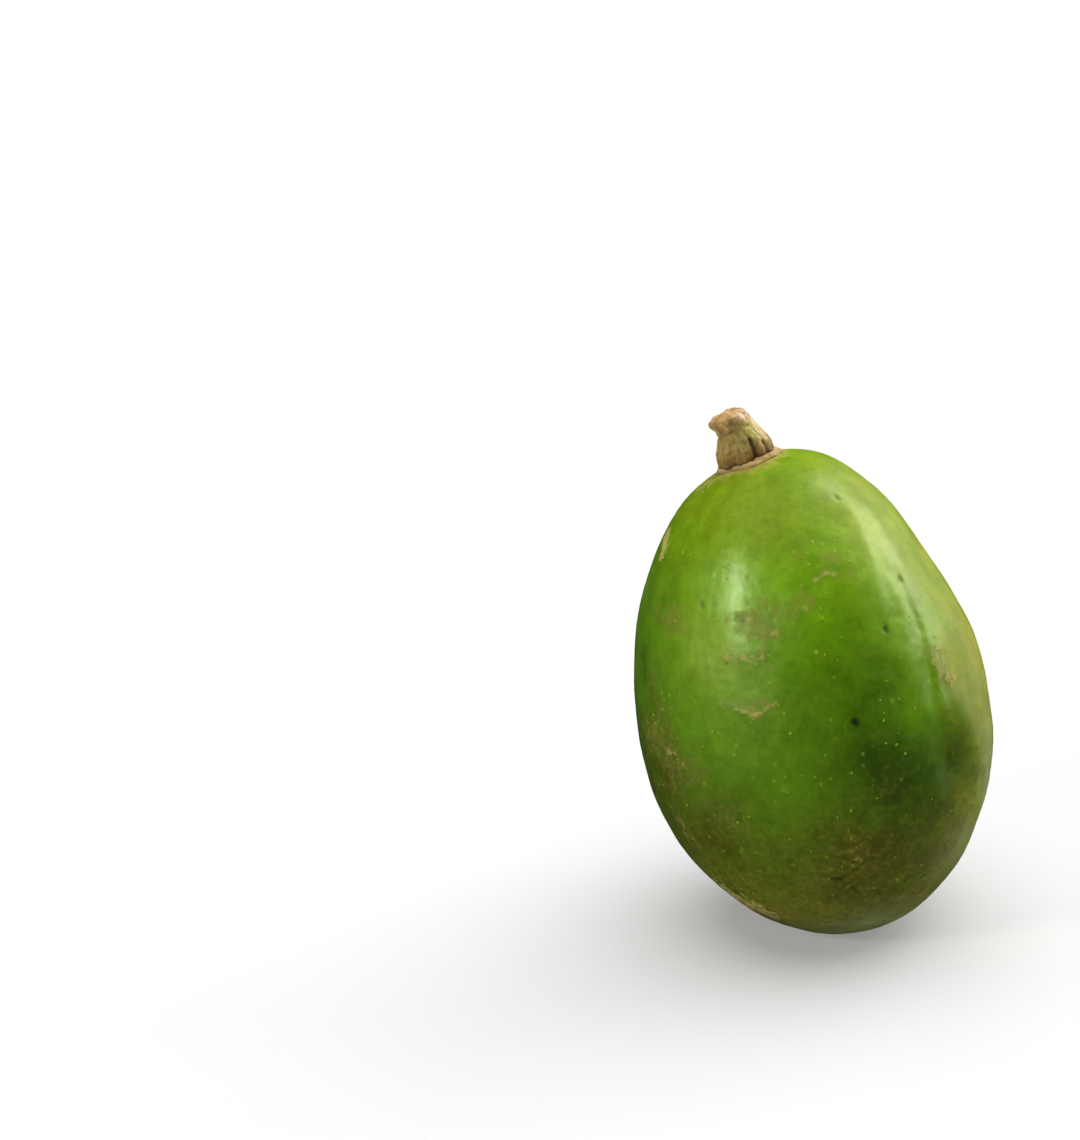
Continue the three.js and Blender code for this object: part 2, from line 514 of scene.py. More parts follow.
@dataclass(frozen=True)
class Wash:
    """A soft patch where the peel's green shifts, round one (level, azimuth) place.

    Its reach along the fruit and across it are in mm.
    """

    tint: Tint
    place: tuple[float, float]
    along: float
    across: float
    amount: float


FURROWS = (
    Furrow(-47, 6, 0.4, -0.5, 0.6, 1.8, 0.15, hollow=(-0.22, 1.1, 3.8)),
    Furrow(52, -5, 0.5, -0.6, 0.45, 3.2, 0.15),
    Furrow(128, 4, 0.6, -0.4, 0.35, 3.6, 0.1),
)

# Low crests on the skin, and what each of them makes.
FOLDS = (
    # the front edge and the back edge of the flat flank above the deep furrow
    Fold(
        (
            (0.93, -22, 0.0), (0.86, -36, 0.12), (0.77, -43, 0.3), (0.66, -49, 0.32),
            (0.54, -53, 0.28), (0.46, -56, 0.24), (0.4, -58, 0.12), (0.32, -59, 0.0),
        ),
        reach=3.2,
        keen=True,
    ),
    Fold(
        ((0.9, -18, 0.0), (0.77, -30, 0.14), (0.68, -33, 0.2), (0.58, -36, 0.16), (0.48, -38, 0.0)),
        reach=2.2,
        keen=True,
    ),
    # the deep furrow's bed, which is shallower in its middle
    Fold(
        (
            (0.38, -43.5, 0.0), (0.3, -45, 0.12), (0.25, -45.7, 0.24), (0.2, -46.4, 0.36),
            (0.15, -46.9, 0.48), (0.1, -47, 0.54), (0.0, -47, 0.56), (-0.08, -47, 0.45),
            (-0.17, -47, 0.0),
        ),
        reach=1.8,
    ),
    # the shoulders on both sides of the bed
    Fold(
        ((0.38, -55, 0.0), (0.3, -56, 0.08), (0.12, -58, 0.1), (0.0, -59, 0.18), (-0.08, -58, 0.0)),
        reach=2.8,
    ),
    Fold(
        ((0.05, -41, 0.0), (-0.03, -41, 0.2), (-0.12, -41.5, 0.42), (-0.2, -41, 0.35), (-0.3, -40, 0.0)),
        reach=2.4,
    ),
    # small lumps along the flank, from the furrow up
    Fold(((0.44, -47, 0.12), (0.4, -48, 0.12)), 1.2),
    Fold(((0.35, -49, 0.12), (0.33, -52, 0.12)), 1.1),
    Fold(((0.74, -34, 0.08), (0.71, -36, 0.1)), 1.2),
    Fold(((0.63, -39, 0.1), (0.61, -42, 0.08)), 1.1),
    Fold(((0.56, -43, 0.1),), 1.0),
    Fold(((0.5, -48, 0.1),), 1.1),
    # the far side of the hollow
    Fold(((-0.05, -39, 0.0), (-0.1, -38, 0.18), (-0.3, -36, 0.2), (-0.4, -36, 0.0)), 2.4),
    # the crown swells a little in front of the stalk and to its left
    Fold(
        (
            (0.975, -70, 0.12), (0.975, -110, 0.25), (0.97, -145, 0.38),
            (0.96, -180, 0.45), (0.97, 150, 0.3), (0.975, 110, 0.1),
        ),
        reach=4.4,
    ),
)

BROW = Brow(
    (
        (0.6, -39.5, 0.0), (0.54, -41, 0.1), (0.46, -42.5, 0.16), (0.41, -43.6, 0.18),
        (0.29, -44.5, 0.18), (0.24, -46, 0.2), (0.18, -47, 0.25), (0.12, -48, 0.32),
        (0.06, -49.8, 0.4), (0.0, -50.8, 0.44), (-0.06, -50, 0.37), (-0.15, -48, 0.22), (-0.25, -46, 0.0),
    ),
    rise=1.5,
    fall=5.0,
)

# Rubs, scuffs, russet and pits. The front is azimuth -90, and the back is 90.
MARKS = (
    # the curved scar low on the front
    Mark(Trace.CORK, ((0.24, -120), (0.225, -117), (0.205, -113)), 0.26, 0.6, 0.05),
    Mark(Trace.CORK, ((0.205, -112), (0.19, -109), (0.19, -107)), 0.34, 0.8, 0.08),
    Mark(Trace.CORK, ((0.195, -105.5), (0.212, -102.5), (0.222, -100.5)), 0.28, 0.7, 0.06),
    Mark(Trace.RUSSET, ((0.235, -117), (0.215, -109), (0.215, -103)), 1.2, 0.85),
    Mark(Trace.RUSSET, ((0.15, -108), (0.09, -108)), 1.0, 0.55),
    # scuffs above it
    Mark(Trace.RUSSET, ((0.53, -105), (0.5, -100)), 2.4, 1.15),
    Mark(Trace.RUSSET, ((0.54, -103), (0.57, -97)), 1.9, 0.85),
    Mark(Trace.RUSSET, ((0.44, -101),), 1.2, 0.7),
    Mark(Trace.CORK, ((0.53, -106), (0.535, -104)), 0.25, 0.5, 0.05),
    Mark(Trace.CORK, ((0.5, -101), (0.48, -99), (0.47, -96)), 0.3, 0.35, 0.03),
    Mark(Trace.RUSSET, ((0.41, -114), (0.39, -108), (0.38, -102)), 1.3, 0.75),
    Mark(Trace.CORK, ((0.415, -114), (0.4, -109), (0.395, -104)), 1.0, 0.4, 0.03),
    Mark(Trace.CORK, ((0.61, -77), (0.615, -73), (0.61, -69)), 0.3, 0.7, 0.05),
    Mark(Trace.RUSSET, ((0.61, -77), (0.62, -69)), 1.4, 0.7),
    Mark(Trace.RUSSET, ((0.63, -66), (0.66, -69)), 1.5, 0.75),
    Mark(Trace.RUSSET, ((0.59, -63),), 1.5, 0.7),
    Mark(Trace.RUSSET, ((0.56, -83), (0.53, -89)), 1.8, 0.85),
    Mark(Trace.CORK, ((0.535, -86), (0.525, -84)), 0.25, 0.5, 0.04),
    Mark(Trace.RUSSET, ((0.72, -80), (0.74, -77)), 1.3, 0.6),
    # the left side
    Mark(Trace.RUSSET, ((0.55, -145), (0.53, -139)), 2.0, 0.95),
    Mark(Trace.RUSSET, ((0.56, -155),), 1.8, 0.8),
    Mark(Trace.RUSSET, ((0.3, -156), (0.22, -152), (0.16, -148)), 1.9, 0.8),
    Mark(Trace.RUSSET, ((0.09, -156), (0.05, -145)), 2.8, 1.0),
    Mark(Trace.RUSSET, ((-0.02, -136), (-0.05, -146)), 2.8, 0.95),
    Mark(Trace.CORK, ((0.04, -146), (0.03, -142)), 0.4, 0.55, 0.06),
    Mark(Trace.CORK, ((-0.01, -140), (-0.03, -138)), 0.35, 0.55, 0.05),
    Mark(Trace.RUSSET, ((-0.16, -132), (-0.2, -124)), 2.2, 0.7),
    Mark(Trace.RUSSET, ((-0.29, -150), (-0.35, -148)), 1.9, 1.0),
    Mark(Trace.CORK, ((-0.3, -149),), 0.5, 0.5, 0.05),
    Mark(Trace.CORK, ((-0.64, -150), (-0.67, -145), (-0.69, -141)), 2.2, 0.8, 0.1),
    Mark(Trace.CORK, ((-0.71, -141), (-0.74, -137)), 1.8, 0.75, 0.1),
    Mark(Trace.RUSSET, ((-0.61, -150), (-0.69, -142), (-0.75, -135)), 3.2, 0.9),
    Mark(Trace.CORK, ((0.815, -176), (0.79, -169), (0.765, -165)), 0.9, 0.95, 0.08),
    Mark(Trace.CORK, ((0.955, -178), (0.97, -165), (0.983, -145)), 1.3, 0.6, 0.03),
    # low on the front
    Mark(Trace.RUSSET, ((-0.42, -90), (-0.55, -87), (-0.68, -85)), 2.8, 0.6),
    Mark(Trace.RUSSET, ((-0.5, -100), (-0.6, -98)), 2.2, 0.5),
    Mark(Trace.CORK, ((-0.46, -90), (-0.5, -87)), 0.5, 0.35, 0.05),
    Mark(Trace.RUSSET, ((-0.84, -63), (-0.78, -57)), 2.4, 1.0),
    Mark(Trace.CORK, ((-0.8, -60),), 0.6, 0.5, 0.05),
    # along the deep furrow and the right side
    Mark(Trace.CORK, ((0.19, -44), (0.14, -43.2), (0.1, -42), (0.06, -40)), 0.95, 0.72, 0.05),
    Mark(Trace.CORK, ((0.08, -39), (0.06, -36), (0.05, -33)), 0.25, 0.4, 0.03),
    Mark(Trace.RUSSET, ((0.05, -38), (-0.06, -34)), 2.2, 0.55),
    Mark(Trace.RUSSET, ((0.2, -45), (0.06, -42)), 1.6, 0.7),
    Mark(Trace.RUSSET, ((-0.54, -46), (-0.65, -50)), 2.0, 0.95),
    Mark(Trace.RUSSET, ((0.15, -19), (0.2, -26)), 2.8, 0.5),
    Mark(Trace.RUSSET, ((0.05, -57),), 1.6, 0.5),
    # the back, which carries the same kinds of rub
    Mark(Trace.CORK, ((0.3, 62), (0.27, 66), (0.28, 71)), 0.4, 0.8, 0.09),
    Mark(Trace.RUSSET, ((0.31, 60), (0.26, 72)), 1.5, 0.8),
    Mark(Trace.RUSSET, ((0.5, 96), (0.44, 101)), 2.2, 0.9),
    Mark(Trace.CORK, ((0.47, 97), (0.46, 100)), 0.3, 0.5, 0.05),
    Mark(Trace.RUSSET, ((-0.1, 120), (-0.16, 126)), 2.6, 0.9),
    Mark(Trace.RUSSET, ((-0.45, 60), (-0.6, 68)), 3.2, 0.9),
    Mark(Trace.RUSSET, ((-0.5, 150), (-0.66, 160)), 3.0, 0.9),
    Mark(Trace.CORK, ((-0.55, 152), (-0.6, 156)), 0.6, 0.6, 0.08),
    Mark(Trace.CORK, ((0.12, 150), (0.08, 152), (0.06, 157)), 0.3, 0.65, 0.06),
    Mark(Trace.RUSSET, ((0.02, 20), (-0.06, 24)), 2.0, 0.8),
    Mark(Trace.CORK, ((-0.2, 34), (-0.22, 38)), 0.35, 0.6, 0.06),
    Mark(Trace.RUSSET, ((0.7, 60), (0.68, 66)), 1.4, 0.7),
    # the scar of the flower, in the middle of the blossom end
    Mark(Trace.RUSSET, ((-1.0, 0),), 3.6, 0.95),
    Mark(Trace.CORK, ((-1.0, 0),), 1.3, 0.95, -0.35),
    Mark(Trace.PIT, ((-1.0, 0),), 0.45, 0.8, -0.3),
    # pits
    Mark(Trace.PIT, ((0.08, -79), (0.07, -78.5)), 0.5, 1.0, -0.3),
    Mark(Trace.PIT, ((0.36, -59),), 0.36, 0.9, -0.22),
    Mark(Trace.PIT, ((0.49, -43),), 0.4, 0.6, -0.16),
    Mark(Trace.PIT, ((0.82, -46),), 0.34, 0.35, -0.1),
    Mark(Trace.PIT, ((0.79, -66),), 0.3, 0.25, -0.04),
    Mark(Trace.PIT, ((0.61, -126), (0.6, -125)), 0.4, 0.45, -0.05),
    Mark(Trace.PIT, ((0.53, -107.5), (0.53, -106.5)), 0.34, 0.4, -0.06),
    Mark(Trace.PIT, ((0.68, -103),), 0.34, 0.3, -0.06),
    Mark(Trace.PIT, ((0.84, -97),), 0.3, 0.25, -0.04),
    Mark(Trace.PIT, ((-0.55, -98), (-0.56, -95)), 0.4, 0.7, -0.12),
    Mark(Trace.PIT, ((0.22, 100),), 0.4, 0.85, -0.22),
    Mark(Trace.PIT, ((0.6, 40),), 0.34, 0.6, -0.14),
    Mark(Trace.PIT, ((-0.3, 170),), 0.38, 0.7, -0.16),
)

# The clearest pale dots, each with its radius in mm after its level and azimuth.
CLEAR_DOTS = (
    (0.37, -85, 0.28), (-0.11, -66, 0.22), (-0.11, -84, 0.18), (0.12, -69, 0.15), (0.07, -69, 0.14),
    (0.71, -59, 0.24), (0.73, -72, 0.26), (0.71, -68, 0.26), (0.68, -65, 0.24), (0.66, -59, 0.26),
    (0.63, -61, 0.24), (0.6, -59, 0.2), (0.67, -77, 0.26), (0.67, -85, 0.22), (0.61, -83, 0.24),
    (0.14, -124, 0.26), (0.29, -116, 0.22), (0.25, -109, 0.22), (0.72, -113, 0.22), (0.78, -120, 0.22),
    (0.8, -107, 0.2), (0.78, -144, 0.24), (0.83, -80, 0.2), (0.27, -147, 0.26), (0.27, -142, 0.24),
    (0.24, -146, 0.26), (0.21, -142, 0.24),
)

# Where the green shifts: yellower on the side that had the sun and olive low down, with painted shade
# by the furrow, on the front and on the left edge, painted light on the lumps beside the furrow,
# and a painted sheen low on the rim and round the blossom end.
WASHES = (
    Wash(Tint.YELLOW, (0.55, -15), 26, 12, 0.75),
    Wash(Tint.YELLOW, (0.0, -15), 22, 11, 0.95),
    Wash(Tint.YELLOW, (0.14, -36), 8, 3, 0.8),
    Wash(Tint.YELLOW, (-0.58, -33), 10, 9, 0.8),
    Wash(Tint.YELLOW, (-0.66, -140), 8, 9, 0.5),
    Wash(Tint.YELLOW, (0.9, -110), 9, 14, 0.25),
    Wash(Tint.YELLOW, (0.45, -128), 10, 6, 0.3),
    Wash(Tint.YELLOW, (0.4, 150), 16, 9, 0.4),
    # deep green, which on the front is painted shade: its dark middle, the hollow, the crease and the left edge
    Wash(Tint.DEEP_AND_PAINTED_SHADE, (-0.14, -69), 9, 8, 0.95),
    Wash(Tint.DEEP_AND_PAINTED_SHADE, (0.2, -71), 9, 6, 0.62),
    Wash(Tint.DEEP_AND_PAINTED_SHADE, (-0.3, -60), 8, 6, 0.85),
    Wash(Tint.DEEP_AND_PAINTED_SHADE, (-0.25, -44.5), 4.5, 4, 0.65),
    Wash(Tint.DEEP_AND_PAINTED_SHADE, (0.42, -41.5), 3.5, 1.6, 0.5),
    Wash(Tint.DEEP_AND_PAINTED_SHADE, (0.27, -86), 9, 7, 0.22),
    Wash(Tint.DEEP_AND_PAINTED_SHADE, (0.35, -168), 18, 10, 0.5),
    Wash(Tint.DEEP_AND_PAINTED_SHADE, (-0.2, 95), 12, 9, 0.5),
    # bright green, which beside the deep furrow is painted light on its lumps
    Wash(Tint.BRIGHT_AND_PAINTED_LIGHT, (0.12, -134), 8, 6, 0.75),
    Wash(Tint.BRIGHT_AND_PAINTED_LIGHT, (0.02, -57), 4, 3.5, 0.8),
    Wash(Tint.BRIGHT_AND_PAINTED_LIGHT, (0.22, -50), 7, 3, 0.5),
    Wash(Tint.BRIGHT_AND_PAINTED_LIGHT, (0.42, -51), 4, 3.5, 0.5),
    Wash(Tint.BRIGHT_AND_PAINTED_LIGHT, (-0.12, -104), 9, 5, 0.5),
    Wash(Tint.BRIGHT_AND_PAINTED_LIGHT, (-0.3, -112), 7, 5, 0.3),
    Wash(Tint.BRIGHT_AND_PAINTED_LIGHT, (0.1, 70), 9, 7, 0.4),
    # a painted sheen, pale grey-green, low on the right and low round the blossom end
    Wash(Tint.BLOOM, (-0.42, -19), 11, 5, 0.7),
    Wash(Tint.BLOOM, (-0.66, -36), 6, 6, 0.6),
    Wash(Tint.BLOOM, (-0.9, -95), 4, 12, 0.7),
    Wash(Tint.BLOOM, (-0.7, 100), 6, 14, 0.5),
    Wash(Tint.OLIVE, (-0.5, -88), 6, 8, 0.5),
    Wash(Tint.OLIVE, (-0.1, -152), 9, 7, 0.6),
    Wash(Tint.OLIVE, (-0.35, -140), 9, 6, 0.45),
    Wash(Tint.OLIVE, (-0.62, -60), 6, 9, 0.5),
    Wash(Tint.OLIVE, (-0.5, 40), 7, 10, 0.5),
    Wash(Tint.OLIVE, (-0.45, 140), 9, 10, 0.5),
)


# ---------------------------------------------------------------- the fruit


@dataclass
class Plum:
    """The fruit's body: the same formula as the CAD solid, with the skin's own relief on it."""

    radius: float = 23.9
    half_length: float = 33.2
    profile: tuple[float, float, float] = (-0.094, -0.035, 0.142)
    sway: tuple[float, float] = (0.04, -0.03)
    oval: float = -0.02
    # the blossom end is blunter than an ellipse's, and the crown slopes up towards azimuth 0
    blunt_end: float = 0.1
    crown_slope: float = 0.12
    crown_centre: tuple[float, float] = (-0.2, 0.5)
    collar_lift: float = 3.5
    # the shoulder is a shallow press on the side at azimuth 0
    shoulder_depth: float = 1.0
    shoulder_level: float = 0.48
    shoulder_reach: float = 0.28
    shoulder_spread: float = 0.6
    # a furrow drifts between two levels, fades in over a stretch of level at each end, and has its
    # lips at a distance from its middle and with a reach that are shares of its width
    furrow_drift: tuple[float, float] = (0.1, 0.6)
    furrow_fade: float = 0.35
    lip_place: float = 2.0
    lip_reach: float = 1.2
    lean_side: float = 14.6
    lean_back: float = 5.0
    # the CAD body is cut off this far above its lowest point, and the skin rounds the cut's edge
    resting_cut: float = 1.8
    resting_blend: float = 0.12
    segments: int = 400
    rings: int = 238

    # the skin's own relief, and how round a keen fold is at its top, as a share of its reach
    swell: Ripple = Ripple(0.1, 9.0, seed=3)
    dimples: Ripple = Ripple(0.012, 1.4, seed=4)
    keen_top: float = 0.25
    # a mark is whole up to a share of its width and gone past another, and so is its rise or dip
    mark_edge: tuple[float, float] = (0.2, 1.6)
    rise_edge: tuple[float, float] = (0.3, 1.6)
    # what makes the edges of rubs and russet ragged
    ragged: tuple[Ripple, Ripple] = (Ripple(0.35, 1.5, seed=5), Ripple(0.2, 0.9, seed=6))
    # the stain round the collar, and the levels between which the low, old half begins
    stain_edge: tuple[float, float] = (3.8, 6.4)
    stain_torn: Ripple = Ripple(0.8, 1.6, seed=8)
    age_levels: tuple[float, float] = (-0.75, 0.05)
    age_drift: Ripple = Ripple(0.12, 12.0, seed=9)
    # how thickly dots grow anywhere, where it is old, on a mark, and in the deep green and painted shade
    dots_all: float = 0.45
    dots_old: float = 0.1
    dots_marked: float = 0.4
    dots_deep: float = -0.3
    # how thickly crumbs of cork lie on a scar and round the collar
    crumbs_scar: float = 0.28
    crumbs_crown: float = 0.15
    # no dot or crumb stands nearer to the pole than this, and they set in between these heights
    under_collar: float = 4.6
    off_floor: tuple[float, float] = (0.3, 0.9)
    # where the body's middle stands in the frame of the CAD model, which is found from its box
    offset: np.ndarray = field(default_factory=lambda: np.zeros(3))

    def __post_init__(self) -> None:
        """Finds where the leaning body has to stand, from the CAD fruit's box."""
        low, high = [np.array(corner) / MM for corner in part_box("fruit")]
        level, azimuth = self.grid()
        body = self.leaned(self.point(level, azimuth))
        body = body[body[..., 2] > body[..., 2].min() + self.resting_cut]
        middle = (body.min(axis=0) + body.max(axis=0)) / 2
        self.offset = np.array([*((low + high) / 2 - middle)[:2], high[2] - body[:, 2].max()])

    def grid(self) -> tuple[np.ndarray, np.ndarray]:
        """Spreads rings of points evenly over the skin.

        Returns:
            The points' levels and their azimuths in radians, each with shape (rings, segments).
        """
        turn = math.pi * np.arange(1, self.rings + 1) / (self.rings + 1)
        level, azimuth = np.meshgrid(-np.cos(turn), all_round(self.segments), indexing="ij")
        return level, azimuth

    def furrow_relief(self, furrow: Furrow, level: np.ndarray, azimuth: np.ndarray) -> np.ndarray:
        """How far the skin stands out at a furrow: negative in its bed.

        Args:
            furrow: The furrow.
            level: Levels of the points.
            azimuth: Azimuths of the points, in radians.

        Returns:
            Relief in mm.
        """
        around = self.radius * np.sqrt(np.maximum(0, 1 - level**2))
        bed = math.radians(furrow.azimuth) + math.radians(furrow.drift) * ease(level, *self.furrow_drift)
        side = turn_between(azimuth, bed) * around
        fade = self.furrow_fade
        strength = ease(furrow.top - level, 0, fade) * ease(level - furrow.bottom, 0, fade)
        lip_place = self.lip_place * furrow.width
        lip_reach = self.lip_reach * furrow.width
        lips = bell(side - lip_place, lip_reach) + bell(side + lip_place, lip_reach)
        relief = strength * (furrow.lip * lips - furrow.depth * bell(side, furrow.width))
        if furrow.hollow is None:
            return relief
        at, depth, reach = furrow.hollow
        inside = bell(np.hypot(side, (level - at) * self.half_length), reach)
        return relief * (1 - inside) - depth * inside

    def point(self, level: np.ndarray, azimuth: np.ndarray) -> np.ndarray:
        """Points of the plain skin in the fruit's upright frame, in mm.

        Args:
            level: Levels of the points.
            azimuth: Azimuths of the points, in radians.

        Returns:
            The points, with one more axis than level.
        """
        around = np.sqrt(np.maximum(0, 1 - level**2))
        first, second, third = self.profile
        share = 1 + first * level + second * level**2 + third * level**3
        share = share + (self.sway[0] * level + self.sway[1] * level**3) * np.cos(azimuth)
        share = share + self.oval * np.cos(2 * azimuth)
        blunt = 1 + self.blunt_end * np.maximum(0, -level) ** 4
        radius = self.radius * around * blunt * share
        for furrow in FURROWS:
            radius = radius + self.furrow_relief(furrow, level, azimuth)
        pressed = bell(level - self.shoulder_level, self.shoulder_reach)
        pressed = self.shoulder_depth * pressed * bell(turn_between(azimuth, 0), self.shoulder_spread)
        radius = radius - pressed
        x = radius * np.cos(azimuth)
        y = radius * np.sin(azimuth)
        rise = self.crown_slope * x * np.maximum(0, level) ** 4
        return np.stack([x, y, self.half_length * level + rise], axis=-1)

    def place(self, level: float, azimuth: float) -> np.ndarray:
        """One point of the plain skin in the upright frame, at an azimuth in degrees."""
        return self.point(np.array(level, float), np.array(math.radians(azimuth)))

    def leaned(self, points: np.ndarray) -> np.ndarray:
        """Leans points with the fruit.

        Args:
            points: Points in the fruit's upright frame, in mm.

        Returns:
            The points in the frame of the CAD model, in mm.
        """
        side = np.array(Matrix.Rotation(-math.radians(self.lean_side), 3, "Y"))
        back = np.array(Matrix.Rotation(-math.radians(self.lean_back), 3, "X"))
        return points @ (back @ side).T + self.offset

    def crowned(self, points: np.ndarray) -> np.ndarray:
        """Sets points on the crown, and leans them with the fruit.

        Args:
            points: Points in the crown's frame in mm, where +Z is square to the collar.

        Returns:
            The points in the frame of the CAD model, in mm.
        """
        angle = math.radians(self.collar_lift) - math.atan(self.crown_slope)
        tilt = np.array(Matrix.Rotation(angle, 3, "Y"))
        return self.leaned(points @ tilt.T + [*self.crown_centre, self.half_length])

    def crown_drop(self, distance: Any) -> Any:
        """How far the crown has fallen at a distance from its pole, in mm."""
        return self.half_length * (1 - np.sqrt(1 - (np.asarray(distance) / self.radius) ** 2))

    def folded(self, points: np.ndarray) -> np.ndarray:
        """How far the skin stands out at all the folds together.

        Args:
            points: Points of the plain skin, with shape (count, 3).

        Returns:
            Relief in mm.
        """
        relief = np.zeros(len(points))
        for fold in FOLDS:
            path = np.array([self.place(level, azimuth) for level, azimuth, _ in fold.path])
            away, where = path_distance(points, path)
            away = away / fold.reach
            keen = np.exp(self.keen_top - np.sqrt(away**2 + self.keen_top**2))
            fall = keen if fold.keen else bell(away, 1)
            heights = [height for _, _, height in fold.path]
            relief += fall * np.interp(where, np.arange(len(heights)), heights)
        return relief

    def browed(self, level: np.ndarray, azimuth: np.ndarray) -> np.ndarray:
        """How far the skin stands out at the brow.

        Args:
            level: Levels of the points.
            azimuth: Azimuths of the points, in radians.

        Returns:
            Relief in mm.
        """
        levels, azimuths, heights = np.array(BROW.path[::-1]).T
        edge = np.radians(np.interp(level, levels, azimuths))
        side = turn_between(azimuth, edge) * self.radius * np.sqrt(np.maximum(0, 1 - level**2))
        risen = ease(side, -BROW.rise / 2, BROW.rise / 2)
        return np.interp(level, levels, heights) * risen * bell(np.maximum(side, 0), BROW.fall)

    def marked(
        self, points: np.ndarray, relief: np.ndarray
    ) -> tuple[dict[Trace, np.ndarray], np.ndarray]:
        """Lays every mark on the skin.

        Args:
            points: Points of the plain skin, with shape (count, 3).
            relief: The relief so far, in mm.

        Returns:
            How fully each kind of trace covers the points, and the relief with the marks' own.
        """
        first, second = self.ragged
        wobble = first.at(points) + second.at(points)
        traces = {trace: np.zeros(len(points)) for trace in Trace}
        for mark in MARKS:
            path = np.array([self.place(*place) for place in mark.path])
            away = path_distance(points, path)[0] / mark.width
            if mark.trace is not Trace.PIT:
                away = away + wobble
            cover = mark.strength * (1 - ease(away, *self.mark_edge))
            traces[mark.trace] = np.maximum(traces[mark.trace], cover)
            relief = relief + mark.rise * (1 - ease(away, *self.rise_edge))
        return traces, relief

    def washed(self, points: np.ndarray, tint: Tint) -> np.ndarray:
        """How strongly the soft patches of one tint show.

        Args:
            points: Points of the plain skin, with shape (count, 3).
            tint: The tint.

        Returns:
            A share for each point.
        """
        total = np.zeros(len(points))
        for wash in (wash for wash in WASHES if wash.tint is tint):
            away = points - self.place(*wash.place)
            along = np.abs(away[:, 2]) / wash.along
            across = np.linalg.norm(away[:, :2], axis=1) / wash.across
            total = np.maximum(total, wash.amount * np.exp(-(along**2) - across**2))
        return total

    def rested(self, points: np.ndarray) -> np.ndarray:
        """Presses the blossom end flat on the floor, with a soft edge.

        Args:
            points: Points in the frame of the CAD model, in mm.

        Returns:
            The points, with none below the floor.
        """
        rested = np.array(points, float)
        height = rested[..., 2]
        rested[..., 2] = (height + np.sqrt(height**2 + 4 * self.resting_blend**2)) / 2
        return rested

    def shares(
        self, level: np.ndarray, plain: np.ndarray, rows: np.ndarray, traces: dict[Trace, np.ndarray]
    ) -> dict[str, np.ndarray]:
        """Works out what the finish and the strewn dots read from the skin.

        Args:
            level: Levels of the points.
            plain: The points on the plain skin, in mm.
            rows: The points on the finished skin, in mm.
            traces: How fully each kind of trace covers the points.

        Returns:
            The skin's attributes: a name and a share for each point.
        """
        flat = plain.reshape(-1, 3)
        tints = {tint.value: self.washed(flat, tint).reshape(level.shape) for tint in Tint}
        marks = {trace.value: cover.reshape(level.shape) for trace, cover in traces.items()}
        from_crown = np.linalg.norm(plain[..., :2] - self.crown_centre, axis=-1)
        stained = 1 - ease(from_crown + self.stain_torn.at(flat).reshape(level.shape), *self.stain_edge)
        crown = np.where(level > 0, stained, 0)
        age = 1 - ease(level + self.age_drift.at(flat).reshape(level.shape), *self.age_levels)
        # none of the dots and crumbs stands where the skin touches the floor or lies under the collar
        bare = np.where((level > 0) & (from_crown < self.under_collar), 0, 1)
        bare = bare * ease(rows[..., 2], *self.off_floor)
        marked = np.maximum.reduce(list(marks.values()))
        dots = self.dots_all + self.dots_old * age + self.dots_marked * marked
        # fewer dots where the deep green and painted shade lie
        dots = dots + self.dots_deep * tints[Tint.DEEP_AND_PAINTED_SHADE.value]
        crumbs = self.crumbs_scar * marks[Trace.CORK.value] + self.crumbs_crown * crown
        return {
            "level": level,
            **marks,
            **tints,
            "crown": crown,
            "age": age,
            "dots": np.clip(dots, 0, 1) * bare,
            "crumbs": np.clip(crumbs, 0, 1) * bare,
        }

    def build(self, peel: "WaxyPeel") -> bpy.types.Object:
        """Makes the fruit's skin with its relief, marks and attributes.

        Args:
            peel: The finish of the skin.

        Returns:
            The skin as a closed mesh.
        """
        level, azimuth = self.grid()
        plain = self.point(level, azimuth)
        flat = plain.reshape(-1, 3)
        relief = self.swell.at(flat) + self.dimples.at(flat) + self.folded(flat)
        traces, relief = self.marked(flat, relief + self.browed(level, azimuth).ravel())
        shaped = plain + grid_normals(plain) * relief.reshape(level.shape)[..., None]
        rows = self.rested(self.leaned(shaped))
        foot, head = [self.rested(self.leaned(self.place(pole, 0.0))) for pole in (-1.0, 1.0)]
        skin = closed_loft("fruit_skin", foot * MM, rows * MM, head * MM)
        for name, values in self.shares(level, plain, rows, traces).items():
            store(skin, name, values)
        skin.data.materials.append(peel.material())
        return skin


# ---------------------------------------------------------------- finishes


@dataclass(frozen=True)
class Crust:
    """One layer that a trace of the skin leaves over the green.

    It lies where the trace, times its reach, and a noise together pass the threshold. Gain is how
    sharp its edge is, and share is how fully it covers.
    """

    source: str
    noise: str
    reach: float
    gain: float
    share: float
    colour: str


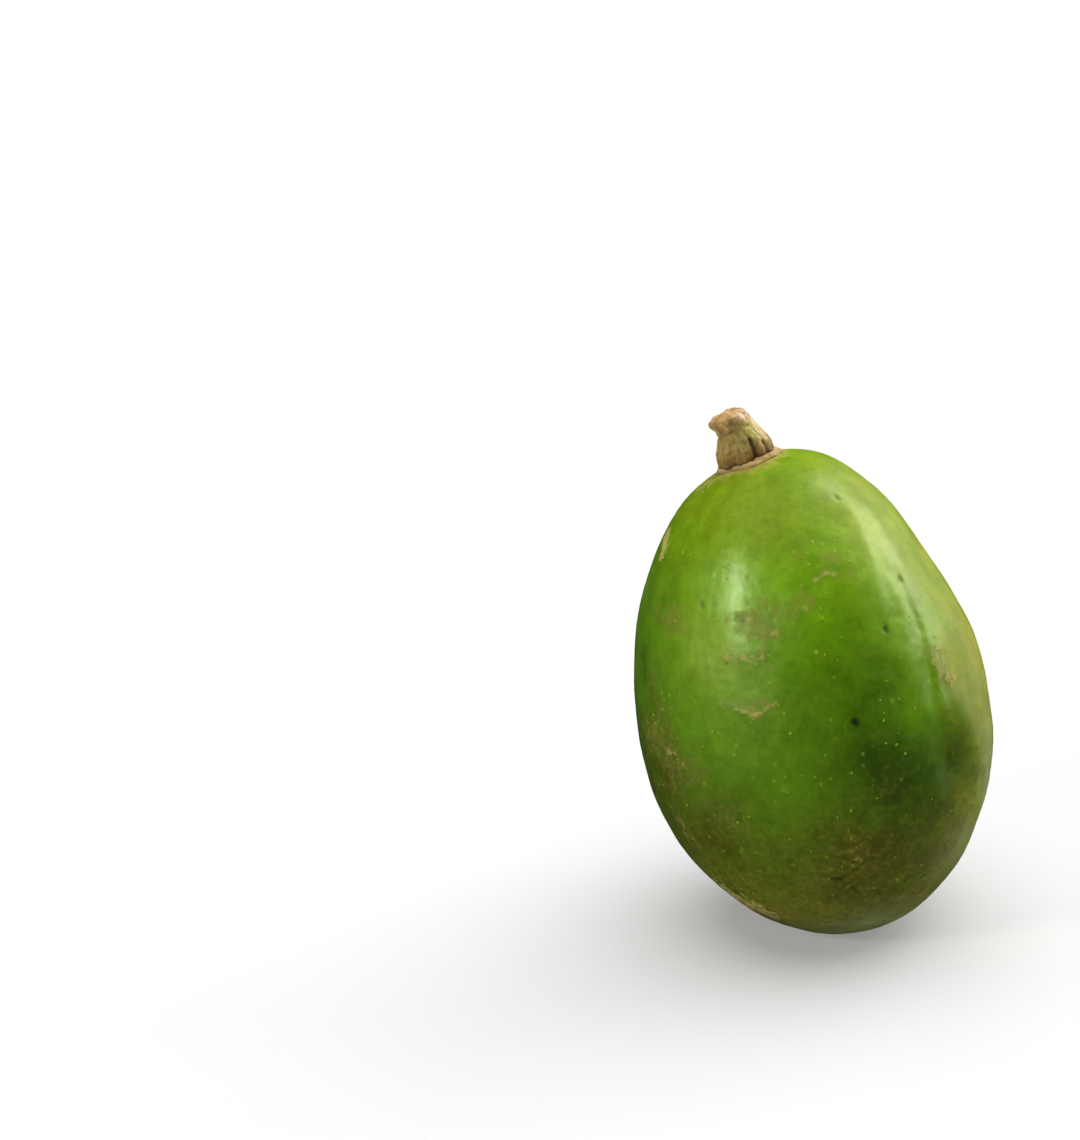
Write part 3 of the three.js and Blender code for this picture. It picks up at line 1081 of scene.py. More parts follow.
@dataclass(frozen=True)
class WaxyPeel:
    """Peel of an unripe fruit under the thin wax that it grows itself.

    The wax gives a soft gloss over saturated green. The peel is yellower at the stalk end and
    olive at the blossom end, with thin brown russet and dry tan cork where it was rubbed. Some of
    its soft patches are painted shade, painted light and a painted sheen.
    """

    # the green from the blossom end to the stalk end, with the height of each shade
    shades: tuple[tuple[float, str], ...] = (
        (0.06, "#6c6824"),
        (0.28, "#465c00"),
        (0.5, "#4a7200"),
        (0.8, "#619302"),
        (0.98, "#5e8402"),
    )
    # the deep patch is deep green and painted shade, the bright one bright green and painted light, and the pale
    # grey-green one a painted sheen
    yellow_patch: str = "#8a8e14"
    deep_green_and_painted_shade: str = "#1e4600"
    olive: str = "#4e4e06"
    bright_and_painted_light: str = "#588a00"
    bloom: str = "#8b9660"
    speck: str = "#74720a"
    pit: str = "#10180a"
    dot: str = "#9cae3c"
    wax: str = "#fdff94"

    crusts: tuple[Crust, ...] = (
        Crust("age", "broken", reach=0.2, gain=4.0, share=0.2, colour="#5c4c0c"),
        Crust("crown", "broken", reach=0.62, gain=2.0, share=0.85, colour="#8e8234"),
        Crust("russet", "broken", reach=0.46, gain=2.1, share=0.72, colour="#5c4c0c"),
        Crust("russet", "fleck", reach=0.26, gain=3.0, share=0.34, colour="#808428"),
        Crust("cork", "fleck", reach=0.6, gain=2.4, share=0.8, colour="#ab9c58"),
    )
    crust_threshold: float = 0.66

    # the size of each noise's features in mm, and how many finer layers it has
    noises: tuple[tuple[str, float, float], ...] = (
        ("drift", 14.0, 2.0),
        ("patch", 6.0, 3.0),
        ("mottle", 2.6, 3.0),
        ("fleck", 0.8, 3.0),
        ("grain", 0.45, 2.0),
    )
    # how far the shades drift up and down the ramp, over this part of the noise
    shade_drift: float = 0.1
    drift_noise: tuple[float, float] = (0.25, 0.75)
    # how much each patch swings about its amount, and where and how far the old half turns olive
    patch_swing: tuple[float, float] = (0.55, 1.45)
    aged_noise: tuple[float, float] = (0.42, 0.66)
    aged_share: float = 0.5
    # how dark and how light each noise makes the green
    mottle_light: tuple[float, float] = (0.86, 1.14)
    fleck_light: tuple[float, float] = (0.94, 1.06)
    # the speckle's share anywhere and on the old half, and the noise where each of its colours lies
    speckle_all: float = 0.1
    speckle_old: float = 0.26
    tan_speckle: tuple[float, float] = (0.5, 0.66)
    green_speckle: tuple[float, float] = (0.48, 0.34)

    # the wax is less even in the mottle, and duller where the peel is old, and dry on a crust
    roughness: float = 0.35
    rough_swing: tuple[float, float] = (-0.08, 0.12)
    rough_old: float = 0.1
    rough_dry: float = 0.4
    dry_cork: float = 0.8
    ior: float = 1.45
    gloss: float = 0.5
    bump_mm: float = 0.1
    bump_peel: float = 0.1
    bump_dry: float = 0.5

    # the faint dots: a cell's size in mm, radii and core as shares of a cell, and strength
    dot_spacing_mm: float = 1.25
    dot_radii: tuple[float, float] = (0.14, 0.34)
    dot_core: float = 0.04
    dot_strength: float = 0.45

    def material(self) -> bpy.types.Material:
        """Builds the peel's node tree.

        Returns:
            The material.
        """
        made = empty_material("waxy_green_peel")
        tree = made.node_tree
        names = ("level", "crown", "age", "dots", *[kind.value for kind in (*Tint, *Trace)])
        traces = read_traces(tree, names)
        noises = {name: noise(tree, size, detail) for name, size, detail in self.noises}
        colour, dry = self._marked(tree, self._ground(tree, traces, noises), traces, noises)
        swing = [self.roughness + change for change in self.rough_swing]
        rough = spread(tree, noises["mottle"], wanted=swing)
        rough = maths(tree, "MULTIPLY_ADD", traces["age"], self.rough_old, rough)
        rough = maths(tree, "MULTIPLY_ADD", dry, self.rough_dry, rough, clamp=True)
        values = {
            "Base Color": colour,
            "Roughness": rough,
            "IOR": self.ior,
            "Specular IOR Level": self.gloss,
            "Specular Tint": linear(self.wax),
            "Normal": self._relief(tree, dry, noises),
        }
        return finish_off(made, values)

    def _ground(self, tree: Any, traces: dict, noises: dict) -> Any:
        """The green under every mark: it changes along the fruit, in soft patches, some of which are painted
        shade, painted light and a painted sheen, and in a mottle.

        Args:
            tree: The node tree.
            traces: The skin's attributes by name.
            noises: The noises by name.

        Returns:
            The colour's socket.
        """
        # the level runs from -1 to 1, and the ramp from 0 to 1
        height = maths(tree, "MULTIPLY_ADD", traces["level"], 0.5, 0.5)
        drift = spread(tree, noises["drift"], self.drift_noise, (-self.shade_drift, self.shade_drift))
        colour = ramp(tree, maths(tree, "ADD", height, drift), *self.shades)
        # each tint lies in its own soft patches, and its edges wander: the deep ones are partly painted shade,
        # the bright ones partly painted light, and the pale grey-green ones a painted sheen
        uneven = spread(tree, noises["patch"], NOISE_MIDDLE, self.patch_swing)
        aged = maths(tree, "MULTIPLY", spread(tree, noises["patch"], self.aged_noise), traces["age"])
        aged = maths(tree, "MULTIPLY_ADD", aged, self.aged_share, traces[Tint.OLIVE.value])
        for amount, patch in (
            (traces[Tint.YELLOW.value], self.yellow_patch),
            (traces[Tint.DEEP_AND_PAINTED_SHADE.value], self.deep_green_and_painted_shade),
            (traces[Tint.BRIGHT_AND_PAINTED_LIGHT.value], self.bright_and_painted_light),
            (aged, self.olive),
            (traces[Tint.BLOOM.value], self.bloom),
        ):
            colour = covered(tree, colour, maths(tree, "MULTIPLY", amount, uneven, clamp=True), patch)
        light = spread(tree, noises["mottle"], NOISE_MIDDLE, self.mottle_light)
        fine = spread(tree, noises["fleck"], NOISE_MIDDLE, self.fleck_light)
        # a fine speckle of dry tan and of deep green, strongest on the old low half
        share = maths(tree, "MULTIPLY_ADD", traces["age"], self.speckle_old, self.speckle_all)
        for given, speck in ((self.tan_speckle, self.speck), (self.green_speckle, self.deep_green_and_painted_shade)):
            factor = maths(tree, "MULTIPLY", spread(tree, noises["fleck"], given), share)
            colour = covered(tree, colour, factor, speck)
        return shaded(tree, colour, maths(tree, "MULTIPLY", light, fine))

    def _marked(self, tree: Any, colour: Any, traces: dict, noises: dict) -> tuple[Any, Any]:
        """Lays age, the crown's stain, russet, cork, faint dots and pits over the green.

        Args:
            tree: The node tree.
            colour: The green's socket.
            traces: The skin's attributes by name.
            noises: The noises by name.

        Returns:
            The colour, and how dry and dull the surface is there.
        """
        mean = {"Factor": 0.5, "A": noises["fleck"], "B": noises["mottle"]}
        broken = add_node(tree, "ShaderNodeMix", mean, out="Result", data_type="FLOAT")
        noises = {**noises, "broken": broken}
        dry = maths(tree, "MULTIPLY", traces[Trace.CORK.value], self.dry_cork)
        for crust in self.crusts:
            source = traces[crust.source]
            swollen = maths(tree, "MULTIPLY_ADD", source, crust.reach, noises[crust.noise])
            raised = maths(tree, "SUBTRACT", swollen, self.crust_threshold)
            cover = maths(tree, "MULTIPLY", raised, crust.gain, clamp=True)
            factor = maths(tree, "MULTIPLY", cover, crust.share)
            factor = maths(tree, "MULTIPLY", factor, maths(tree, "GREATER_THAN", source, 0.0))
            dry = maths(tree, "MAXIMUM", dry, factor)
            colour = covered(tree, colour, factor, crust.colour)
        colour = covered(tree, colour, self._dots(tree, traces["dots"]), self.dot)
        return covered(tree, colour, traces[Trace.PIT.value], self.pit), dry

    def _dots(self, tree: Any, share: Any) -> Any:
        """Faint round dots under the wax, at most one to a cell.

        Args:
            tree: The node tree.
            share: The socket of the share of cells that have a dot.

        Returns:
            The socket of the dots' strength.
        """
        place = add_node(tree, "ShaderNodeTexCoord", out="Object")
        inputs = {"Vector": place, "Scale": per_mm(self.dot_spacing_mm), "Randomness": 1.0}
        cells = add_node(tree, "ShaderNodeTexVoronoi", inputs, out=None).outputs
        draws = add_node(tree, "ShaderNodeSeparateColor", {"Color": cells["Color"]}, out=None).outputs
        size = spread(tree, draws["Green"], wanted=self.dot_radii)
        dot = spread(tree, cells["Distance"], (size, self.dot_core), (0.0, self.dot_strength))
        dot = maths(tree, "MULTIPLY", dot, maths(tree, "GREATER_THAN", share, draws["Red"]))
        return maths(tree, "MULTIPLY", dot, draws["Blue"])

    def _relief(self, tree: Any, dry: Any, noises: dict) -> Any:
        """The fine grain of the peel, and the roughness of cork and russet.

        Args:
            tree: The node tree.
            dry: The socket of how dry the surface is.
            noises: The noises by name.

        Returns:
            The normal's socket.
        """
        strength = maths(tree, "MULTIPLY_ADD", dry, self.bump_dry, self.bump_peel)
        height = maths(tree, "ADD", noises["grain"], noises["mottle"])
        return bumped(tree, height, strength, self.bump_mm)


@dataclass(frozen=True)
class PaleLenticel:
    """The breathing pores of the peel: small, dry, slightly raised dots of pale yellow-green."""

    name: str = "pale_lenticel"
    colour: str = "#7c9a22"
    brown: str = "#74701e"
    wax: str = "#fdff94"
    roughness: float = 0.6
    gloss: float = 0.12
    patch_mm: float = 2.0
    # the noise up to which a dot is pale, and past which it is brown
    pale_to: float = 0.45
    brown_from: float = 0.68

    def material(self) -> bpy.types.Material:
        """Builds the dots' node tree: a few of them are brown.

        Returns:
            The material.
        """
        made = empty_material(self.name)
        tree = made.node_tree
        patches = noise(tree, self.patch_mm)
        values = {
            "Base Color": ramp(tree, patches, (self.pale_to, self.colour), (self.brown_from, self.brown)),
            "Roughness": self.roughness,
            "Specular IOR Level": self.gloss,
            "Specular Tint": linear(self.wax),
        }
        return finish_off(made, values)


@dataclass(frozen=True)
class DryCork:
    """Dead, corky tissue: matt tan with darker cracks and a crumbly surface."""

    name: str
    light: str
    dark: str
    pink: str
    roughness: float = 0.85
    gloss: float = 0.12
    crack_mm: float = 0.8
    patch_mm: float = 2.4
    # the noise up to which it is dark, past which it is light, and where it turns pink
    dark_to: float = 0.32
    light_from: float = 0.52
    pink_noise: tuple[float, float] = (0.45, 0.65)
    bump: float = 0.6
    bump_mm: float = 0.15

    def material(self) -> bpy.types.Material:
        """Builds the cork's node tree.

        Returns:
            The material.
        """
        made = empty_material(self.name)
        tree = made.node_tree
        cracks = noise(tree, self.crack_mm, detail=4.0)
        warm = spread(tree, noise(tree, self.patch_mm), self.pink_noise)
        colour = ramp(tree, cracks, (self.dark_to, self.dark), (self.light_from, self.light))
        values = {
            "Base Color": covered(tree, colour, warm, self.pink),
            "Roughness": self.roughness,
            "Specular IOR Level": self.gloss,
            "Normal": bumped(tree, cracks, self.bump, self.bump_mm),
        }
        return finish_off(made, values)


@dataclass(frozen=True)
class DryBark:
    """Bark of the stalk stub: olive and tan, in fibres that run along the stalk, with painted shade in its
    slots, under the cap, at the foot's edge and in a dent of the cap.
    """

    tan: str = "#9c8444"
    # the colours that lie over the tan, in order, each by the stalk's attribute of its name
    stains: tuple[tuple[str, str], ...] = (
        ("olive", "#8a7e3c"),
        ("yellow", "#a8a24a"),
        ("pale", "#ccb884"),
        ("foot", "#86652c"),
        ("cap", "#ac8c54"),
        ("pink", "#e0c2a4"),
    )
    # the colour of the painted shade in the slots, under the cap and at the foot's edge
    dark: str = "#4a3410"
    roughness: float = 0.8
    gloss: float = 0.15
    fibre_mm: float = 0.35
    fibre_length_mm: float = 2.2
    crumble_mm: float = 0.7
    detail: float = 4.0
    # the range of both noises together, and how light the bark is at its ends
    grain_noise: tuple[float, float] = (0.7, 1.3)
    grain_light: tuple[float, float] = (0.65, 1.3)
    bump: float = 0.7
    bump_mm: float = 0.2

    def material(self) -> bpy.types.Material:
        """Builds the bark's node tree. The fibres follow the stalk's own UV map, which is in mm.

        Returns:
            The material.
        """
        made = empty_material("dry_stalk_bark")
        tree = made.node_tree
        wrap = add_node(tree, "ShaderNodeUVMap", uv_map="bark")
        per_fibre = (1 / self.fibre_mm, 1 / self.fibre_length_mm, 1.0)
        stretched = add_node(tree, "ShaderNodeMapping", {"Vector": wrap, "Scale": per_fibre})
        inputs = {"Vector": stretched, "Scale": 1.0, "Detail": self.detail}
        fibres = add_node(tree, "ShaderNodeTexNoise", inputs, out="Fac")
        grain = maths(tree, "ADD", fibres, noise(tree, self.crumble_mm, self.detail))
        traces = read_traces(tree, [name for name, _ in self.stains] + ["slot"])
        colour = linear(self.tan)
        for name, stain in self.stains:
            colour = covered(tree, colour, traces[name], stain)
        colour = shaded(tree, colour, spread(tree, grain, self.grain_noise, self.grain_light))
        # the slot attribute lays painted shade over the bark
        values = {
            "Base Color": covered(tree, colour, traces["slot"], self.dark),
            "Roughness": self.roughness,
            "Specular IOR Level": self.gloss,
            "Normal": bumped(tree, grain, self.bump, self.bump_mm),
        }
        return finish_off(made, values)


# ---------------------------------------------------------------- things that are strewn


def growth_tree(name: str, inputs: dict[str, str]) -> tuple[Any, Any]:
    """Makes a geometry node tree that takes and gives a geometry.

    Args:
        name: The tree's name.
        inputs: Names of its other inputs to their kinds: Float, Int or Material.

    Returns:
        The tree, and the sockets of its input node.
    """
    made = bpy.data.node_groups.new(name, "GeometryNodeTree")
    made.interface.new_socket("Geometry", in_out="OUTPUT", socket_type="NodeSocketGeometry")
    for key, kind in {"Geometry": "Geometry", **inputs}.items():
        made.interface.new_socket(key, in_out="INPUT", socket_type="NodeSocket" + kind)
    return made, add_node(made, "NodeGroupInput", out=None).outputs


def named(tree: Any, name: str, kind: str = "FLOAT") -> Any:
    """Reads a named attribute in a geometry node tree."""
    inputs = {"Name": name}
    return add_node(tree, "GeometryNodeInputNamedAttribute", inputs, out="Attribute", data_type=kind)


def chance(tree: Any, low: Any, high: Any, seed: int) -> Any:
    """Draws a random number for each point of a geometry node tree."""
    inputs = {"Min": low, "Max": high, "Seed": seed}
    return add_node(tree, "FunctionNodeRandomValue", inputs, out="Value", data_type="FLOAT")


def grow_bodies(tree: Any, points: Any, rotation: Any, scale: Any, finish: Any) -> None:
    """Ends a geometry node tree: a small round body on each point, all in one finish.

    Args:
        tree: The geometry node tree.
        points: The socket of the points.
        rotation: The socket of each body's rotation.
        scale: The socket of each body's radii.
        finish: The socket of the material.
    """
    inputs = {"Segments": 8, "Rings": 5, "Radius": 1.0}
    ball = add_node(tree, "GeometryNodeMeshUVSphere", inputs, out="Mesh")
    inputs = {"Points": points, "Instance": ball, "Rotation": rotation, "Scale": scale}
    bodies = add_node(tree, "GeometryNodeInstanceOnPoints", inputs)
    smooth = add_node(tree, "GeometryNodeSetShadeSmooth", {"Geometry": bodies})
    real = add_node(tree, "GeometryNodeRealizeInstances", {"Geometry": smooth})
    dressed = add_node(tree, "GeometryNodeSetMaterial", {"Geometry": real, "Material": finish})
    add_node(tree, "NodeGroupOutput", {"Geometry": dressed})


@dataclass(frozen=True)
class Strewing:
    """Small rounded bodies strewn over a piece by a geometry node tree.

    Sizes are radii in mm, and flatness is a body's height over its radius. The spacing is the
    least distance between two bodies in mm, and the density is the most bodies in a square mm,
    which the named attribute thins out.
    """

    name: str
    attribute: str
    spacing: float
    density: float
    smallest: float
    largest: float
    flatness: float
    seed: int

    def tree(self) -> Any:
        """Builds the geometry node tree, with an input for each size.

        Returns:
            The tree.
        """
        sizes = dict.fromkeys(("Spacing", "Density", "Smallest", "Largest", "Flatness"), "Float")
        made, given = growth_tree(self.name + "_growth", {**sizes, "Seed": "Int", "Finish": "Material"})
        inputs = {
            "Mesh": given["Geometry"],
            "Distance Min": given["Spacing"],
            "Density Max": given["Density"],
            "Density Factor": named(made, self.attribute),
            "Seed": given["Seed"],
        }
        kind = "GeometryNodeDistributePointsOnFaces"
        points = add_node(made, kind, inputs, out=None, distribute_method="POISSON").outputs
        ends = given["Smallest"], given["Largest"]
        length, width, height = [chance(made, *ends, seed) for seed in (1, 2, 3)]
        thin = maths(made, "MULTIPLY", height, given["Flatness"])
        scale = add_node(made, "ShaderNodeCombineXYZ", {"X": length, "Y": width, "Z": thin})
        spin = add_node(made, "ShaderNodeCombineXYZ", {"Z": chance(made, 0.0, 2 * math.pi, seed=4)})
        inputs = {"Rotation": points["Rotation"], "Rotate By": spin}
        turned = add_node(made, "FunctionNodeRotateRotation", inputs, rotation_space="LOCAL")
        grow_bodies(made, points["Points"], turned, scale, given["Finish"])
        return made

    def build(self, ground: bpy.types.Object, finish: bpy.types.Material) -> bpy.types.Object:
        """Strews the bodies over a piece.

        Args:
            ground: The piece, which has the named attribute.
            finish: The bodies' material.

        Returns:
            All the bodies as one mesh.
        """
        values = {
            "Spacing": self.spacing * MM,
            "Density": self.density / MM**2,
            "Smallest": self.smallest * MM,
            "Largest": self.largest * MM,
            "Flatness": self.flatness,
            "Seed": self.seed,
            "Finish": finish,
        }
        return grown(self.name, ground, self.tree(), values)


@dataclass(frozen=True)
class ClearDots:
    """The clearest breathing pores, each at a place and of a size of its own."""

    name: str = "clear_lenticels"
    flatness: float = 0.09

    def tree(self) -> Any:
        """Builds the geometry node tree, which reads each point's size and facing.

        Returns:
            The tree.
        """
        made, given = growth_tree(self.name + "_growth", {"Flatness": "Float", "Finish": "Material"})
        size = named(made, "size")
        facing = named(made, "facing", "FLOAT_VECTOR")
        turned = add_node(made, "FunctionNodeAlignRotationToVector", {"Vector": facing}, axis="Z")
        thin = maths(made, "MULTIPLY", size, given["Flatness"])
        scale = add_node(made, "ShaderNodeCombineXYZ", {"X": size, "Y": size, "Z": thin})
        grow_bodies(made, given["Geometry"], turned, scale, given["Finish"])
        return made

    def build(self, plum: Plum, skin: bpy.types.Object, finish: bpy.types.Material) -> bpy.types.Object:
        """Sets the dots on the skin.

        Args:
            plum: The fruit's formula, which turns a level and an azimuth into a place.
            skin: The fruit's skin.
            finish: The dots' material.

        Returns:
            All the dots as one mesh.
        """
        corners = np.zeros(len(skin.data.vertices) * 3)
        skin.data.vertices.foreach_get("co", corners)
        corners = corners.reshape(-1, 3)
        nearest = []
        for level, azimuth, _ in CLEAR_DOTS:
            place = plum.rested(plum.leaned(plum.place(level, azimuth))) * MM
            nearest.append(int(np.argmin(np.linalg.norm(corners - place, axis=1))))
        mesh = bpy.data.meshes.new(self.name + "_places")
        mesh.from_pydata([tuple(corners[number]) for number in nearest], [], [])
        size = mesh.attributes.new("size", "FLOAT", "POINT")
        size.data.foreach_set("value", [radius * MM for _, _, radius in CLEAR_DOTS])
        facing = mesh.attributes.new("facing", "FLOAT_VECTOR", "POINT")
        normals = [skin.data.vertices[number].normal for number in nearest]
        facing.data.foreach_set("vector", [part for normal in normals for part in normal])
        places = bpy.data.objects.new(mesh.name, mesh)
        dots = grown(self.name, places, self.tree(), {"Flatness": self.flatness, "Finish": finish})
        bpy.data.objects.remove(places)
        return dots


# ---------------------------------------------------------------- the calyx collar and the stalk


@dataclass
class Collar:
    """The dry rim of the calyx, a thin torn disc that hugs the crown round the stalk's foot.

    Heights are above the crown's skin, and distances from the middle are shares of the radius.
    """

    plum: Plum
    radius: float = 4.15
    oval: float = 0.06
    lobes: int = 5
    lobe_share: float = 0.035
    lobe_turn: float = 0.6
    top_height: float = 0.9
    edge_height: float = 0.74
    bedding: float = 0.15
    # the underside lies this much deeper than the bedding, between two distances
    under_cut: float = 0.1
    under: tuple[float, float] = (0.15, 0.96)
    under_rings: int = 8
    # distance and height of each ring of the rim
    rim: tuple[tuple[float, float], ...] = ((1.0, 0.2), (1.015, 0.38), (1.0, 0.56), (0.965, 0.68))
    over: tuple[float, float] = (0.9, 0.1)
    over_rings: int = 14
    # the crown's formula is read no further out than this
    reach: float = 0.98
    torn: tuple[Ripple, Ripple] = (Ripple(0.09, 1.1, seed=21), Ripple(0.1, 2.6, seed=22))
    segments: int = 180

    def top(self, distance: Any) -> Any:
        """Height of the collar's top above the pole, at a distance from its middle, in mm."""
        thinning = (self.top_height - self.edge_height) * (np.asarray(distance) / self.radius) ** 2
        return self.top_height - thinning - self.plum.crown_drop(distance)

    def build(self, cork: DryCork) -> bpy.types.Object:
        """Makes the collar: its underside is bedded in the skin and its rim is uneven.

        Args:
            cork: The finish of the collar.

        Returns:
            The collar as a closed mesh.
        """
        azimuth = all_round(self.segments)
        lobes = self.lobe_share * np.cos(self.lobes * azimuth + self.lobe_turn)
        depth = -self.bedding - self.under_cut
        under = [(share, depth) for share in np.linspace(*self.under, self.under_rings)]
        over = [(share, None) for share in np.linspace(*self.over, self.over_rings)]
        rows = []
        for share, height in [*under, *self.rim, *over]:
            distance = share * self.radius
            inside = np.minimum(distance, self.reach * self.radius)
            z = self.top(inside) if height is None else height - self.plum.crown_drop(inside)
            out = distance * (1 + share**2 * (lobes + self.oval * np.cos(2 * azimuth)))
            ring = [out * np.cos(azimuth), out * np.sin(azimuth), np.full(self.segments, z)]
            rows.append(np.stack(ring, axis=-1))
        rows = np.array(rows)
        fine, coarse = self.torn
        outward = np.clip(np.linalg.norm(rows[..., :2], axis=-1) / self.radius, 0, 1) ** 2
        rows = rows + grid_normals(rows) * ((fine.at(rows) + coarse.at(rows)) * outward)[..., None]
        foot, head = [self.plum.crowned(np.array([0, 0, z])) for z in (-self.bedding, float(self.top(0)))]
        piece = closed_loft("calyx_rim", foot * MM, self.plum.crowned(rows) * MM, head * MM)
        piece.data.materials.append(cork.material())
        return piece


@dataclass(frozen=True)
class Bump:
    """A rib or a lump of the stalk: azimuth and reach in degrees, and its height.

    The height is a share of the stalk's radius, and is negative for a cleft.
    """

    azimuth: float
    reach: float
    height: float

    def at(self, azimuth: np.ndarray) -> np.ndarray:
        """Its height at azimuths in radians."""
        return self.height * self.cover(azimuth)

    def cover(self, azimuth: np.ndarray) -> np.ndarray:
        """One in its middle and almost none past twice its reach, at azimuths in radians."""
        return hump(azimuth, self.azimuth, self.reach)


@dataclass(frozen=True)
class Groove:
    """A groove between two ribs. Azimuth and reach are in degrees.

    Depth is a share of the stalk's radius, and the top is where it ends, a share of the height.
    """

    azimuth: float
    reach: float
    depth: float
    top: float


@dataclass(frozen=True)
class Stain:
    """A colour on some sides of the stalk: azimuths with their reach in degrees, and its strength."""

    places: tuple[tuple[float, float], ...]
    strength: float = 1.0

    def at(self, azimuth: np.ndarray) -> np.ndarray:
        """How strongly it shows at azimuths in radians. It ends at the seam, half a turn round."""
        total = sum(bell(np.degrees(azimuth) - place, reach) for place, reach in self.places)
        return np.clip(total, 0, 1) * self.strength


@dataclass
class Stalk:
    """The stub of the stalk: a ribbed, flared foot, a neck, and a lumpy cap where it broke off.

    Heights up the stalk are shares of its height, and how far its surface stands out or lies in
    is a share of its radius there, unless they are said to be in mm.
    """

    plum: Plum
    collar: Collar
    height: float = 5.8
    foot_radius: float = 3.65
    neck_radius: float = 2.5
    cap_radius: float = 2.65
    oval: float = 0.06
    start_slope: float = 0.04
    bend: float = -0.0365
    bottom: float = 1.1
    # the lowest point inside the foot, and how deep its edge is bedded in the collar, in mm
    inner_foot: float = 0.5
    bedding: float = 0.12
    # the foot follows the collar at its edge and is level from this height on
    level_from: float = 0.12
    segments: int = 220
    side_rows: int = 80
    top_rows: int = 40
    cap_from: float = 0.9
    cap_shoulder: float = 0.96

    ribs: tuple[Bump, ...] = (
        Bump(-145, 15, 0.07), Bump(-104, 17, 0.05), Bump(-55, 8, 0.06), Bump(-24, 14, 0.05),
        Bump(12, 15, 0.03), Bump(55, 17, 0.05), Bump(100, 15, 0.06), Bump(150, 17, 0.07),
    )
    ribs_fade: tuple[float, float] = (0.5, 0.64)
    grooves: tuple[Groove, ...] = (
        Groove(-123, 6, 0.05, 0.5), Groove(-86, 5, 0.03, 0.4), Groove(-68, 9, 0.18, 0.42),
        Groove(-41, 7, 0.12, 0.24), Groove(-5, 7, 0.08, 0.5), Groove(33, 8, 0.12, 0.5),
        Groove(78, 8, 0.1, 0.55), Groove(125, 8, 0.12, 0.5), Groove(178, 8, 0.1, 0.5),
    )
    # how much wider a groove is at its foot, how much of that is lost at its top, the shares of its
    # top between which it fades, and the depth at which its painted shade is darkest
    groove_foot: float = 1.35
    groove_narrows: float = 0.9
    groove_fade: tuple[float, float] = (0.75, 1.1)
    darkest_depth: float = 0.24
    lumps: tuple[Bump, ...] = (
        Bump(-165, 24, 0.1), Bump(-118, 20, 0.03), Bump(-62, 22, 0.06), Bump(-15, 20, 0.02),
        Bump(78, 26, 0.05), Bump(130, 22, 0.04),
    )
    clefts: tuple[Bump, ...] = (
        Bump(-140, 9, -0.08), Bump(-96, 8, -0.06), Bump(-38, 8, -0.05), Bump(5, 9, -0.06),
        Bump(52, 9, -0.08), Bump(103, 8, -0.1), Bump(170, 8, -0.06),
    )
    cleft_shade: float = 0.35
    # the azimuth where the cap's lower edge is highest, how high it is opposite and there, and the
    # height over which the cap begins
    cap_side: float = -8.0
    cap_left: float = 0.5
    cap_right: float = 0.76
    cap_begins: float = 0.1
    # the pinch under the cap's edge: depth, reach and how far round it goes from the left
    pinch: float = 0.07
    pinch_reach: float = 0.03
    pinch_round: float = 0.6
    # a flat below the cap on the right, and a swelling of the foot on the left
    flat: Bump = Bump(-4, 34, 0.09)
    swelling: Bump = Bump(180, 50, 0.1)
    swelling_fade: tuple[float, float] = (0.15, 0.5)
    # the cap's overhang fades where its lower edge is highest: depth, height and reach
    overhang: float = 0.13
    overhang_at: float = 0.8
    overhang_reach: float = 0.14
    # how far the cap's top tips in mm: the right of the middle stands higher than the left
    cap_tip: float = 0.12
    cap_tip_from: float = 0.75
    # the rough surface in mm: fine lumps, lumps that are larger on the cap, and fibres below it
    fine_lumps: Ripple = Ripple(0.05, 0.9, seed=31)
    coarse_lumps: Ripple = Ripple(0.07, 1.7, seed=32)
    lumps_below: float = 0.4
    fibres: Ripple = Ripple(0.05, 0.7, seed=33)
    fibre_stretch: tuple[float, float, float] = (1, 1, 0.18)
    # stains round the stalk, and the heights over which some of them come or go
    olive: Stain = Stain(((-92, 26), (80, 50)), 0.8)
    yellow: Stain = Stain(((-55, 16),), 0.8)
    yellow_from: tuple[float, float] = (0.2, 0.4)
    pale: Stain = Stain(((-18, 28), (150, 30)), 0.8)
    pink: Stain = Stain(((-40, 24), (120, 40)))
    pink_end: tuple[float, float] = (0.9, 0.98)
    pink_lost: float = 0.7
    foot_stain: float = 0.7
    foot_stain_end: tuple[float, float] = (0.06, 0.26)
    # shade under the cap, at the foot's edge with its reach, and in a dent of the cap
    under_cap_shade: Stain = Stain(((-75, 60),), 0.5)
    edge_shade: float = 0.8
    edge_shade_reach: float = 0.035
    dent_shade: Stain = Stain(((-84, 15),), 0.45)
    dent_at: float = 0.84
    dent_reach: float = 0.1

    def outline(self) -> tuple[np.ndarray, np.ndarray]:
        """Draws the stalk's side, from the foot's edge up and in over the cap.

        Returns:
            Each ring's radius in mm and its height.
        """
        foot, neck, cap = self.foot_radius, self.neck_radius, self.cap_radius
        stops = (
            (0.0, foot),
            (0.05, foot),
            (0.18, 0.92 * foot),
            (0.36, 0.82 * foot),
            (0.54, 1.06 * neck),
            (0.64, neck),
            (0.72, 0.98 * cap),
            (0.82, 1.01 * cap),
            (self.cap_from, self.cap_shoulder * cap),
        )
        up = np.linspace(0, self.cap_from, self.side_rows)
        turn = np.linspace(0, 1, self.top_rows + 1)[1:-1] * math.pi / 2
        radii = np.concatenate([smooth_stops(stops, up), self.cap_shoulder * cap * np.cos(turn)])
        return radii, np.concatenate([up, self.cap_from + (1 - self.cap_from) * np.sin(turn)])

